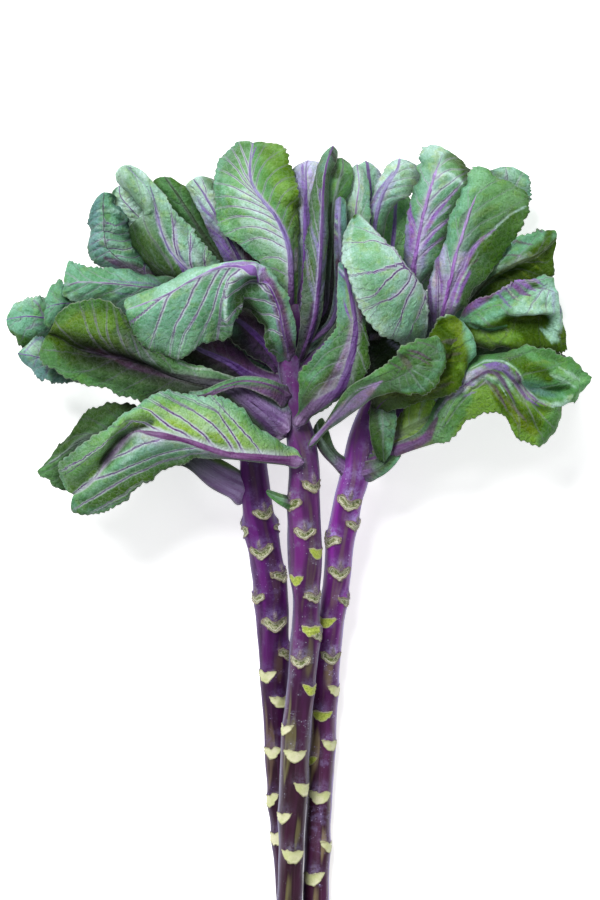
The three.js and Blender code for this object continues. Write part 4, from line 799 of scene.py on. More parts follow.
# leaf_right_arched: the moss strokes and moss spots under the folded flap are painted shade on the hollow's
# inner face.
leaf("leaf_right_arched", (11, 6), 3,
    "377,426,62 410,398,60 436,372,64 458,340,76 480,345,84 508,349,88 535,351 560,354,84 566,351,78",
    "376,421,62 408,393,61 438,366,66 460,328,82 480,318,94 505,312,102 530,305,104 550,303,98 562,320,84",
    "375,416,62 406,388,60 440,360,64 461,318,78 478,304,90 502,296,96 522,285,98 545,279,94 559,296,84",
    tones="olive olive glaucous glaucous", purple=(0.25, 0.5), band=(0.1, 0.3), rib="glaucous",
    rib_width=0.25, fade=0.95, crown=1, flush=0, rib_end=0.5,
    spine="0,0 0.3,0.1 0.6,0.45 0.8,0.6 1,0.3",
    vein_paths="""
    468,319 485,316 503,312; 484,304 492,309 502,314; 470,305 482,300 495,296; 500,297 512,290 524,284;
    512,298 524,291 536,284; 546,285 538,297 528,309; 549,286 546,300 544,314; 552,290 557,308 559,326;
    476,326 486,335 496,342; 500,330 512,338 524,345; 524,330 534,340 544,348""",
    folds="""
    5 466,312,5 480,300 497,294 520,286,6 542,282;
    4 512,311,4 530,311 548,311;
    -4.5 508,322,6 528,324,8 548,322,6;
    4 474,320,4 490,324 503,325;
    -3 480,330,3 500,334;
    3 478,337,5 510,342,6 545,348;
    3 552,295,4 556,315 556,335;
    -2 490,304,3 500,302;
    -2 505,308,2.5 520,298 535,288""",
    dents="0.73,-0.5,0.17,0.25,-8,5",
    wider="0.5,0.9,0.3,0.6,5,2",
    strokes="""
    glaucous 0.95 468,319,3 482,315,7 496,310 506,306,5;
    leaf 0.6 476,316,3 488,311,4 500,306,3;
    pale 0.95 512,309,5 528,303,9 540,295 546,288,5;
    mist 0.7 512,312,3 530,310,4.5 547,309,4;
    pale 0.95 546,290,3 553,305,6 556,322 553,335,4 551,343,1;
    moss 0.98 506,321,4 520,324,7 535,326,8 547,323,6;
    lime 0.7 512,322,3 528,322 545,321;
    lit 0.95 472,332,3 485,336,6 502,338,7 518,341,5;
    moss 0.9 515,345,5 535,346,6 555,350,5;
    deep 0.6 478,331,1 492,333,1.5 505,333,1;
    glaucous 0.9 470,324,1.2 482,328,2.4 494,330,2.6 504,328,1.2;
    violet_dark 0.95 462,318,1.5 466,311,3 472,305,2.4 478,301,0.8;
    orchid 0.85 466,313,0.8 474,304,3 484,299,3.6 494,296,2.2 501,294,0.5;
    violet 0.6 470,308,0.5 479,302,1.3 490,298,0.5;
    orchid 0.85 497,299,0.6 506,294,2.6 516,289,3.2 528,285,2.2 538,282,0.5;
    glaucous 0.7 508,287,0.6 520,282,1.6 532,280,1.4;
    mist 0.9 508,314,0.8 520,315,1.5 534,314 548,315,1;
    lilac 0.5 545,286,0.5 536,298,1 528,309,0.5;
    lilac 0.5 549,288,0.5 551,305,1 551,318,0.5;
    violet 0.5 553,292,0.5 557,308,1 558,322,0.5;
    orchid 0.85 489,298,0.5 500,293,2.4 512,290,4 525,288,3.4 538,285,1;
    moss 0.8 544,318,1 549,322,3 550,328,1.5;
    pale 0.9 510,311,1 520,309,3 534,309,3.4 546,309,2.5;
    green 0.6 498,301,1 510,296,3 522,291 534,286,2;
    violet 0.75 496,296,0.5 505,303,1.2 513,310,0.5;
    violet_dark 0.8 504,292,0.6 513,298,1.8 521,302,0.5;
    stalk 0.9 509,288,0.8 520,293,2.8 530,297,0.8;
    orchid 0.8 518,285,0.8 528,289,2 536,292,0.6;
    forest 0.8 527,284,0.5 535,287,2.2 540,290,0.8;
    violet 0.7 532,281,0.4 538,284,1 543,288,0.4;
    mist 0.7 508,294,0.4 517,300,0.8 524,303,0.4;
    pale 0.9 544,333,1.5 550,337,3.6 556,339;
    stalk 0.9 463,317,1.2 469,311,3.2 477,306,3.8 487,301,3.4 496,298,1.6;
    violet_dark 0.75 464,319,0.6 471,313,1.6 480,308 489,304,0.5;
    orchid 0.6 470,307,0.6 480,301,1.5 492,296,0.8""",
    spots="moss 0.95 0.73,-0.5,0.2,0.3,6; moss 0.8 0.85,-0.95,0.25,0.2,4")
leaf("leaf_centre_back_purple", (8, 4), 1.5,
    "294,306,84 298,270,76 298,225,74 295,195 292,172,70 298,164,68",
    "297,310,84 304,270,78 305,222 306,192,80 306,168,76 308,160,70",
    "299,314,84 310,270,76 313,222,74 318,192 322,168,70 318,161,68",
    tones="mist lilac_pale lilac_pale lilac_pale", veins=(7, 0.3), purple=0.35, band=0.5,
    tip="lilac_pale", shade=0.1, rib_width=0.6,
    strokes="""
    violet 0.8 303,165,1 304,185,2.4 307,205,3.5 308,225;
    vein_white 0.8 305.5,166,0.8 307.5,188,1.3 309,206,1;
    lilac 0.7 297,175,4 299,195;
    mist 0.5 313,165,4 316,175,3""",
    spots="grey_green 0.8 0.25,0,0.2,1,2; forest 0.9 0.9,-1,0.3,0.25,2")
leaf("leaf_centre_dark_curled", (9, 4), 1.5,
    "297,328,84 318,310 322,280,86 324,245,88 325,210 328,182,86 333,165,82 335,158,78",
    "299,332,84 324,312,86 328,280,90 331,245,94 333,210,96 338,184 343,168,90 342,158,80",
    "303,341,84 336,321 336,280,86 340,245,88 343,208 350,188,86 353,172,82 350,163,78",
    tones="glaucous leaf green leaf", veins=(8, 0.22), purple=0.2, band=0.2, rib="green", fade=0.15,
    rib_width=0.5, shade=0.45,
    wider="0.9,-1,0.2,0.6,4,2",
    strokes="""
    deep 0.9 332,163,5 337,175,6;
    leaf 0.8 346,168,4 350,182,4.5 342,196,5;
    leaf_light 0.6 336,182,2.5 332,195 329,215,2;
    night 0.9 333,205,2.5 331,250,3.5 329,300,5;
    green 0.7 328,205,2.5 327,235""",
    spots="night 0.9 0.12,0,0.2,1,2; dark 0.7 0.35,0.2,0.15,0.6,2; leaf 0.7 0.92,-0.4,0.1,0.7,2")
leaf("leaf_between_stems", (6, 4), 1,
    "348,478,60 328,461,62 317,446 312,430,58",
    "349,472,61 331,455,63 320,437 317,422,58",
    "350,466,60 335,448,62 328,428 322,416,58",
    tones="plum green deep green", veins=(5, 0.2), purple=0.2, band=0.1, rib="green", fade=0.15,
    flush=0.3)
leaf("leaf_top_fan", (12, 6), 3,
    "285,322,86 275,281,90 244,249,80 219,228,70 213,200,62 216,172,54 225,149,46 244,138,42",
    "290,322,87 291,281,94 289,248 278,220,90 264,202,84 252,183,76 250,162,66 253,142,52",
    "295,322,86 298,281,90 298,250,86 300,222,82 299,195,76 294,172,68 284,149,60 263,139,52",
    tones="glaucous leaf_light leaf lit", purple=(0.75, 0.5), band=(1, 0.3), rib="lilac", fade=0.2,
    vein_width=0.72, rib_width=0.8,
    vein_paths="""
    286,262 278,258 268,258 258,262; 288,250 275,242 262,238 248,240 238,246; 285,240 270,231 255,227
    240,228 228,233; 282,232 266,222 250,217 232,217 218,222; 278,222 262,213 246,208 230,206 216,208;
    274,214 258,205 243,199 228,196 216,196; 268,207 254,198 240,190 228,185 217,182; 262,200 250,190
    240,181 230,174 221,169; 256,193 246,182 238,170 229,160; 251,184 244,172 239,160 233,150; 250,172
    246,160 241,147; 293,240 296,232 300,226; 289,226 293,216 299,208; 284,215 288,205 298,197; 277,208
    282,197 290,190 298,187; 270,200 275,188 284,180 296,176; 263,193 268,180 278,170 290,164; 256,186
    260,172 268,161 280,152; 252,176 256,162 264,148""",
    strokes="""
    mist 0.75 286,250,5 272,226,6 256,206,5 244,192,4;
    mist 0.5 288,262,3 280,248,4 262,232,5 245,222;
    leaf_light 0.5 225,215,8 235,235;
    lit 0.6 285,200,8 278,175,9 268,155,8;
    lime 0.5 294,205,5 288,225,4;
    green 0.5 232,165,8 240,150;
    bright 0.8 291,272,2.4 289,250 284,232,2.2 274,213,1.8 262,199,1.6 252,186,1.4;
    violet 0.8 252,186,1.4 249,175,1.2 251,160,1 256,148,0.8;
    pink_grey 0.5 295,270,2 296,250;
    mist 0.6 280,240,7 266,222,8 250,206,6 240,195,4;
    mist 0.35 284,258,6 268,246 250,236,5;
    olive 0.35 262,150,4 275,158,6 286,170;
    mist 0.5 284,250,1 268,241,3 250,237,1;
    mist 0.5 282,236,1 264,226,3 244,221,1;
    mist 0.5 276,220,1 256,209,3 236,204,1;
    mist 0.5 266,205,1 248,195,3 230,187,1;
    leaf 0.4 280,243,0.8 262,234,2.4 242,230,1;
    leaf 0.4 278,228,0.8 260,218,2.4 238,213,1;
    leaf 0.4 270,212,0.8 252,202,2.4 234,196,1;
    olive 0.5 286,150,3 294,180,5 296,210;
    forest 0.35 222,170,2 217,195,2.5 220,225 232,242,2;
    green 0.3 286,262,4 262,244,8 240,225 228,205,5""",
    spots="mist 0.5 0.5,-0.17,0.28,0.08,2; deep 0.55 0.25,0.4,0.16,0.6,2; leaf 0.4 0.92,0,0.14,0.5,2")
leaf("leaf_centre_crinkled", (8, 4), 1,
    "297,344,90 326,322,98 334,290,100 334,262,102 334,228 335,200,96",
    "299,348,90 330,325,99 340,290,103 341,262,105 339,228 340,197,98",
    "301,352,90 334,328,98 348,290,100 351,258,101 347,226 346,200,96",
    tones="bluish lilac bluish glaucous", veins=(10, 0.2), purple=0.6, band=0.6, rib="lilac", flush=0.2,
    rib_width=0.7,
    strokes="""
    lilac 0.8 335,200,4 335,230,5 337,250,4;
    bluish 0.8 343,205,3 345,228;
    violet 0.8 332,214,1.1 338,218;
    violet 0.8 333,224,1.1 340,230;
    violet 0.8 333,236,1.1 341,243;
    mist 0.8 332,219,1 339,224;
    mist 0.8 333,230,1 340,237;
    plum 0.8 338,262,3 340,290,4""",
    spots="dark 0.9 0.2,0,0.22,1,2")
leaf("leaf_centre_folded", (11, 4), 1,
    "294,366,82 300,325,104 301,290,108 305,255 310,222,104 313,188,98 320,160,90 328,149,84",
    "298,364,83 313,322,107 318,290,114 321,250,118 322,215 324,180,112 328,160,100 333,146,86",
    "302,362,82 320,322,104 324,290,109 327,250 328,215,106 329,180,102 333,162,94 336,149,84",
    tones="grey_green green grey_green green", purple=0.8, band=0.6, rib="violet_dark", fade=0,
    shade=0.7, rib_width=0.55, vein_width=0.7,
    vein_paths="""
    316,290 311,262 306,240; 317,262 312,235 308,212; 319,235 315,212 312,194; 321,210 319,194 318,178;
    318,288 324,268 330,252; 320,262 326,242 331,226; 321,236 326,218 331,202""",
    wider="0.9,1,0.14,0.6,4,2",
    strokes="""
    deep 0.6 306,290,4 306,260 308,235;
    green 0.5 312,235,6 316,205 318,180;
    olive 0.7 311,275,2.5 312,262;
    lit 0.4 325,262,2 326,248,2.5;
    plum_dark 0.9 308,345,4 312,325 315,305,3.5;
    violet 0.9 309,340,2 314,320 317,300,2.4 319,275,2.2 320,250,1.8 322,232,1.6 322,212,1.3 321,190,1;
    lilac 0.7 319,252,1.3 315,235,1.4 312,222,1;
    lilac 0.6 315,300,1.3 309,275,1.4 306,250,1.2 306,235,1;
    lilac 0.6 321,272,1.3 325,262,1.2 327,250,1;
    lilac 0.6 320,295,1.3 325,282,1.2;
    night 0.8 331,152,2 333,160;
    bluish 0.4 324,170,3 328,158""",
    spots="""
    plum_dark 0.9 0.08,0,0.14,1,2; deep 0.8 0.75,0.5,0.14,0.5,2; glaucous 0.8 0.95,-0.5,0.1,0.6,2; lilac
    0.4 0.4,0.3,0.15,0.4,2""")
leaf("leaf_left_low_behind", (11, 6), 2.5,
    "247,500,52 215,484,60 182,464,68 140,472,72 105,490,74 76,492 45,480,72 36,471,70",
    "251,494,54 220,478,62 184,456,70 146,440,78 112,435,82 82,440 58,458,76 42,467,70",
    "255,487,52 224,469,60 190,446,68 152,415,74 118,404,76 88,411 69,436,74 52,457,70",
    tones="green deep deep deep", veins=(9, 0.22), purple=0.2, band=0.1, rib="green", fade=0.15,
    flush=0.2, stalk="pink_grey", rib_width=1.2,
    wider="0.12,-1,0.16,0.8,5,2 0.12,1,0.16,0.8,6",
    strokes="""
    leaf 0.5 60,462,5 90,440,8 120,420;
    lit 0.85 200,458,2 214,465,5 228,477 240,489,2;
    pink_grey 0.5 190,468,1 208,480,3 226,492 240,500,1""",
    spots="pink_grey 0.95 0.12,-0.3,0.14,0.7,2; lit 0.7 0.12,0.9,0.2,0.25,2; leaf 0.8 0.95,-0.4,0.12,0.8,2")
# leaf_left_cupped: the night spot on its cupped valley is painted shade in that recess.
leaf("leaf_left_cupped", (12, 6), 2.5,
    "284,436,73 256,419,84 222,409,88 185,404,92 150,404,94 125,397 98,386,92 68,379,88 42,360,84 "
    "42,343,82",
    "288,430,74 262,409,88 230,388,92 195,381,96 162,372,98 130,361 100,356,96 75,349,94 58,338,90 "
    "48,334,86",
    "292,418,73 273,395,86 236,380,90 205,368,94 170,357,102 144,338,108 120,306,112 88,299,110 60,312,102 "
    "54,325,92",
    tones="green deep dark forest", purple=(0.35, 0.5), band=(0.15, 0.3), rib="dark", fade=0,
    stalk="grey_lilac", vein_width=0.8, rib_end=0.5, sink=-2,
    vein_paths="""
    108,355 98,345 90,330 86,318; 118,355 104,338 97,322 93,308; 125,362 113,345 108,328 108,312; 138,366
    128,350 120,333 118,322; 150,370 140,352 133,335; 165,372 150,355 142,345; 175,374 165,360 155,352;
    90,352 78,345 68,335 60,325; 100,358 85,357 65,352 50,350; 110,362 95,368 75,372 60,370; 130,368
    115,376 98,385; 150,376 135,384 120,392; 175,380 160,388 148,396""",
    dents="0.62,-0.06,0.36,0.16,-7,2 0.62,0.45,0.3,0.2,3 0.6,-0.5,0.3,0.2,4",
    wider="0.1,-1,0.14,0.6,9,2 0.1,1,0.14,0.6,5",
    strokes="""
    leaf 0.9 182,362,5 200,366,8 220,374,7 238,381,3;
    vein_white 0.6 178,363,1 195,369,1.2 215,371 232,380,0.8;
    mist 0.6 178,361,1.2 190,357 200,358,1;
    leaf_light 0.6 168,340,6 185,350;
    lime 0.5 60,320,6 80,312;
    plum 0.5 100,352,3 130,366 160,374 190,382;
    plum 0.4 150,325,1.3 158,345 165,360,1.2;
    plum 0.4 138,322,1.3 143,342 150,358,1.2;
    plum 0.4 125,320,1.3 128,340 135,352,1.2;
    lit 0.5 110,318,8 135,325,10 155,340,8;
    leaf 0.8 225,398,2.5 245,412,3 268,425 284,434;
    grey_lilac 0.85 232,390,5 250,401,6 268,413 286,426;
    green 0.5 240,383,2 260,395,2.5 280,412;
    leaf 0.5 62,318,6 75,306 95,302;
    leaf 0.6 48,345,5 55,360,6 75,375 95,385,5;
    grey_green 0.5 120,330,5 135,345,6 150,358;
    plum 0.4 88,350,3 110,357 130,364;
    lilac 0.6 226,384,2 248,396,6 268,410,7 286,422,6;
    forest 0.7 238,384,1 256,394,3 274,402 288,412,2;
    green 0.7 236,408,2 252,418,4 268,428 282,432,2""",
    spots="""
    night 0.8 0.6,-0.12,0.24,0.3,3; leaf 0.6 0.38,0.6,0.12,0.45,2; lit 0.7 0.78,0.55,0.15,0.26,3; olive
    0.6 0.92,-0.1,0.1,0.5,2; leaf 0.6 0.9,-0.9,0.3,0.25,2""")
leaf("stalk_left_cut", (9, 2), 0,
    "288,404,76 268,392,98 244,386,103 224,391,106 204,400,108 190,401",
    "290,396,77 270,385,98 245,381,103 224,386,106 204,395,108 188,396",
    "291,391,76 272,380,98 246,376,103 224,381,106 203,390,108 189,391",
    tones="mauve glaucous glaucous grey_green", veins=(3, 0.2), purple=0.2, band=0.1, rib="mauve",
    flush=0.2, sink=-3, stalk="mauve", rib_width=0.35, fade=0,
    wider="0.2,-1,0.2,0.9,4,2",
    strokes="""
    mauve 0.9 200,398,2.5 215,393,3 235,388,3.5 255,387,4 275,391,4.5 292,396,4;
    leaf 0.7 205,392,2 225,384,2.5 245,380 265,380 285,385,2;
    pale 0.8 190,396,3 200,394,2.5;
    green 0.6 212,387,1 235,382,2.4 262,383 284,392,1.5;
    mauve 0.7 212,395,1 235,388,2.2 258,389,2.4 282,398,2""",
    spots="mauve 0.9 0.05,0,0.16,1.2,2")
# leaf_arching_left: the deep stroke is painted shade in the hollow beside the midrib, and the mist stroke
# along the fold's edge is a painted highlight.
leaf("leaf_arching_left", (12, 6), 3,
    "284,362,83 268,350,102 256,324,110 237,316,118 232,334,114 205,346,108 178,359,102 148,351,98 "
    "127,322,102",
    "289,360,84 283,332,110 277,303,124 264,281,136 240,268,140 216,270,138 191,282,132 164,297,122 "
    "127,311,107",
    "294,358,83 296,332,106 290,305,118 281,284,125 258,266,130 226,262 194,270,123 162,285,114 "
    "121,301,106",
    tones="green glaucous pale glaucous", purple=0.8, band=1, rib="orchid", stalk="violet_dark",
    vein_width=1.05, sink=-3, rib_width=0.36, fade=0.45,
    vein_paths="""
    268,292 258,287 245,288 232,293; 272,304 262,300 250,302 240,308; 277,318 268,314 258,316; 281,334
    272,330 262,336; 262,279 250,276 238,279; 240,270 230,278 226,290 222,305 221,322 219,335; 231,268
    224,279 218,293 214,308 209,320 203,333; 220,270 213,282 206,296 199,311 193,322 185,334 181,346;
    201,278 194,290 189,302 182,315 176,326 172,342; 176,289 168,298 162,313 156,330; 164,297 154,305
    146,311""",
    folds="""
    -9 262,283,5 250,285,7 244,300,9 250,318 262,330,7;
    5 252,272,4 238,275 229,285 226,300 227,316;
    3 228,316,5 236,328""",
    strokes="""
    deep 0.9 262,287,4 248,289,7 241,302,10 250,318 264,338,8 272,350,5;
    forest 0.5 258,300,8 264,320;
    mist 0.9 256,272,1.6 244,273,2 234,278,2.2 228,288,1.8 225.5,302,1.5 226,318,1.3;
    lilac_pale 0.8 262,276,2.4 248,272 236,274,2;
    mauve 0.85 289,350,5 284,330,4.5 278,303 268,284,4;
    stalk 0.6 285,340,2 280,315,1.6 273,295,1.4;
    bright 0.7 262,272,2 245,267 228,267,1.6 212,273,1.3 196,280,1;
    pale 0.5 232,322,5 240,330,4;
    mist 0.6 222,270,2 205,279 185,289,1.6;
    glaucous_light 0.5 150,335,10 175,345 205,338,8;
    mauve 0.85 290,356,5.5 286,335 280,308 271,288,5 263,276,3;
    stalk 0.7 287,345,2 283,322,2.2 276,297 267,281,1.6;
    lilac 0.55 280,338,0.6 275,312,1 267,292,0.6;
    mist 0.6 262,270,1 250,272,2.4 238,273,1.5""")
leaf("leaf_bud", (5, 2), 0,
    "294,509,66 280,505,72 268,496,70",
    "292,504,67 280,499,73 266,492,70",
    "290,500,66 281,494,72 267,489,70",
    tones="leaf green", veins=(3, 0.2), purple=0.1, band=0.1, flush=0.2, rib="leaf", stalk="green",
    rib_width=0.6, fade=0)
# leaf_left_low_front: the dark stroke and dark spot are painted shade inside the fold, and the green stroke
# above it is a painted shadow strip.
leaf("leaf_left_low_front", (13, 6), 2,
    "303,457,74 262,431,104 232,401,116 196,397,122 160,393,124 125,416 95,437,120 62,458,114 63,490,104",
    "302,462,75 262,458,106 225,454,118 192,443,128 160,435,132 133,434,126 112,457,112 92,482,102 "
    "75,494,96",
    "301,467,74 264,463,102 228,459,112 204,459,116 182,463 152,480,114 125,500,108 100,515,100 67,512,92",
    tones="glaucous lit_bright glaucous green", purple=(1, 0.8), band=(1, 0.7), rib="wine", fade=0.6,
    stalk="wine", vein_width=1.2, sink=-6,
    vein_paths="""
    262,455 254,444 243,432; 243,452 238,443 231,432 224,422 217,412 206,407; 234,453 228,442 219,431
    208,421 196,413 183,406; 222,451 213,446 206,437 195,428 184,420 170,412 155,403; 197,443 190,438
    183,433 170,427 160,419 150,411 140,408; 165,434 155,428 148,424 141,422 132,423 122,430 110,438;
    160,438 150,441 140,445 128,452 115,458; 190,448 175,450 160,454 148,459 137,463 120,471 102,477;
    205,451 185,455 168,459 158,463 148,468 130,476 112,487 90,500""",
    folds="""
    -7 150,424,6 136,430,7 125,438,8 115,448,7 105,462,5;
    4 140,412,6 120,428,7 95,450,9 75,468;
    2.5 165,440,7 140,452,8 110,470 85,495""",
    dents="0.665,-0.3,0.05,0.3,-5,4 0.57,-0.4,0.05,0.3,4,2",
    strokes="""
    dark 0.9 152,422,3 142,428,5 131,432,6 122,440,8 114,449 106,461,6 100,470,3;
    leaf_light 0.5 128,424,5 110,438,7 90,452,9 75,468;
    green 0.6 160,418,4 145,418,5 130,421,4;
    vein_white 0.5 160,431,3 145,430 130,436;
    olive 0.5 150,475,5 120,490,7 95,502,6;
    olive 0.55 198,457,3 172,464,6 142,477,9 112,491 86,504,5;
    forest 0.4 185,462,2 158,470,4 128,485,5;
    mist 0.3 158,412,5 188,418,8 214,424;
    mist 0.3 205,430,3 222,428,5 235,432,3;
    green 0.5 200,453,2 152,465,6 112,482,8 80,500,5;
    deep 0.35 140,478,2 115,492,4 92,506,3;
    mist 0.4 165,432,1.5 150,437,3 138,447 125,462,2;
    mist 0.35 200,400,2 218,408,4 236,420,3""",
    spots="""
    dark 0.95 0.67,-0.27,0.045,0.22,4; green 0.85 0.87,-0.5,0.15,0.55,4; plum 0.95 0.18,0.45,0.22,0.5,2;
    green 0.6 0.72,0.8,0.2,0.4,2; leaf_light 0.6 0.12,-0.6,0.12,0.4,2; lilac_pale 0.6 0.55,0.1,0.08,0.2,2""")
leaf("leaf_centre_inner", (7, 4), 1.5,
    "296,378,83 318,357,102 338,345,106 352,330,108 368,320,104",
    "298,374,84 321,350,103 342,332,108 358,312,111 374,300,105",
    "300,370,83 323,344,101 344,320,105 362,300,107 378,288,104",
    tones="glaucous green", veins=(7, 0.22), flush=0.5,
    wider="0.5,-1,0.5,0.9,8,2 0.5,1")
leaf("leaf_centre_front", (11, 6), 1.5,
    "292,421,76 302,395,108 310,368,124 324,345,132 336,325,134 337,290,130 338,262,124",
    "297,424,77 314,400,111 331,378,126 345,350,134 352,322,136 350,292,132 346,262,125",
    "304,428,76 329,407,106 353,391,118 368,370,126 367,338,128 360,300,126 353,266,122",
    tones="leaf green green forest", purple=0.25, rib="violet_dark", stalk="mauve", fade=0,
    rib_width=1.15, tip="bluish", sink=-5, vein_width=0.65,
    spine="0,0 0.12,0.3 0.3,0.55 0.46,0.3 0.65,0.18 0.8,0.05 0.9,-0.15 1,-0.3",
    vein_paths="""
    345,345 332,350 322,360 314,375; 340,362 328,366 318,376 310,390; 330,380 318,385 308,398; 350,325
    344,330 338,336; 352,345 358,352 362,362; 346,365 352,375 354,385; 337,380 342,390 340,400; 354,320
    360,326 364,336; 350,290 344,300 342,312; 346,278 340,286 338,296""",
    wider="0.04,-1,0.1,0.9,-4,2 0.04,1 0.25,-1,0.15,0.7,6",
    strokes="""
    deep 0.7 310,400,6 322,392,5 336,372,4;
    forest 0.8 340,392,6 352,375,7 360,350 361,330,5;
    glaucous 0.5 330,345,4 322,360,6 315,378,5;
    mauve 0.8 353,300,2 357,318,4 354,337,5 345,360,5.5 332,382,6 316,402,5;
    plum_dark 0.6 357,322,0.5 357,338,1.1 350,360,1.3 340,378 324,400,0.6;
    pink_grey 0.6 352,312,0.5 351,330,1.2 345,350,1.4 334,372 318,394,0.6;
    orchid 0.6 354,318,0.5 353,338,1.4 345,360,1.6 332,380 320,396,0.6;
    lit 0.7 347,288,2 350,302,3.5 350,318,2;
    lilac_pale 0.8 338,268,0.6 346,277,1.6 353,287,0.6;
    violet 0.9 338,272,0.6 346,281,1.3 353,291,0.6;
    violet 0.9 343,300,0.5 347,312,1.2 351,322,0.5;
    glaucous 0.6 335,283,2 340,296,4 342,310,2;
    olive 0.5 306,402,3 318,390,6 334,372,5;
    bluish 0.45 330,340,3 323,352,5 316,366,4;
    plum 0.4 350,300,2 353,325,4 350,345 338,370 322,395,3;
    forest 0.5 312,372,4 322,358 334,345,3;
    forest 0.5 356,368,4 361,350 360,335,3""",
    spots="deep 0.6 0.5,0.8,0.2,0.3,2; dark 0.8 0.7,0.8,0.12,0.4,2; leaf 0.5 0.35,-0.6,0.2,0.3,2")
leaf("leaf_front_pale", (12, 6), 2.5,
    "379,410,67 392,388,74 400,362,84 406,347,94 384,337,104 361,315,112 353,290,116 344,264 344,238,110 "
    "350,221,102",
    "381,406,68 396,382,76 408,358,88 418,340,98 410,320,110 394,300,120 380,275,126 368,252,124 "
    "358,232,116 354,216,104",
    "383,402,67 400,376,75 416,354,86 426,332,98 426,308,108 424,287,116 410,270,122 391,250 374,230,116 "
    "358,213,106",
    tones="mist glaucous_light glaucous_light mist", purple=1, band=1, rib="pale", vein_width=1.5,
    rib_width=0.5,
    spine="0,0 0.2,0.3 0.35,1 1,1",
    vein_paths="""
    376,236 368,233 360,229 347,225; 399,257 388,247 380,244.5 370,242 360,244 343,245; 401,266 390,259
    383,256 372,254 360,254 344,256; 406,263 395,267 380,272 368,275.5 353,277; 408,266 396,272 388,280
    380,289 372,296 358,300; 412,272 409,281 400,291 392,299 377,303 360,314; 419,277 414,286 406,299
    402,313 398,322; 424,295 421,305 417,316 412,326""",
    strokes="""
    mist 0.2 365,245,9 380,260,8 390,280 400,300,7;
    violet 0.8 406,263,1.3 395,267 380,272,1 366,275.5,0.6;
    lilac_pale 0.9 412,272,2.4 408,282 400,291,1.8 388,300,1.2;
    lilac_pale 0.9 419,277,2.4 414,286,2.2 407,298,1.8 402,312,1.2;
    lilac_pale 0.7 424,293,2 420,305 416,318,1.4;
    mist 0.9 372,215,2 385,236 400,255,2.5 412,268,3 424,282 428,305,2;
    leaf_light 0.5 358,236,6 372,250 380,262,5;
    leaf 0.35 360,262,6 372,266,4;
    moss 0.9 355,212,3 354,217,2.5;
    leaf_light 0.4 375,292,6 385,310,7;
    mist 0.8 353,225,1.4 350,250,1.5 352,275 358,300 368,318""",
    spots="mauve 0.8 0.05,0,0.12,1,2")
leaf("leaf_right_stem_small", (6, 4), 1,
    "362,480,64 380,477,72 394,466,76 402,455",
    "360,474,66 378,468,74 390,459,78 400,450,76",
    "358,468,64 376,459,72 386,450,76 397,445",
    tones="glaucous green green deep", veins=(5, 0.2), purple=0.2, band=0.2, rib="green", fade=0,
    flush=0.3, rib_width=0.5,
    spots="mauve 0.9 0.08,0,0.16,1.2,2")
leaf("leaf_right_yellow", (7, 4), 2,
    "366,452,58 402,447,76 424,442,84 436,432,86 442,420,84",
    "365,446,59 400,434,78 418,424,88 432,416 440,410,84",
    "364,440,58 395,420,76 408,404,84 425,398,86 436,400,84",
    tones="lit_bright lit_bright lit_bright lit", veins=(6, 0.22), purple=0.1, band=0.2, rib="lit",
    shade=0,
    strokes="""
    mist 0.4 425,400,2 415,418,4 402,436,2;
    lime 0.8 404,408,2 398,424,3.5 396,440,2;
    lit_bright 0.7 420,404,2 412,420,4 402,438,3""",
    spots="mauve 0.7 0.08,0,0.16,1.2,2")
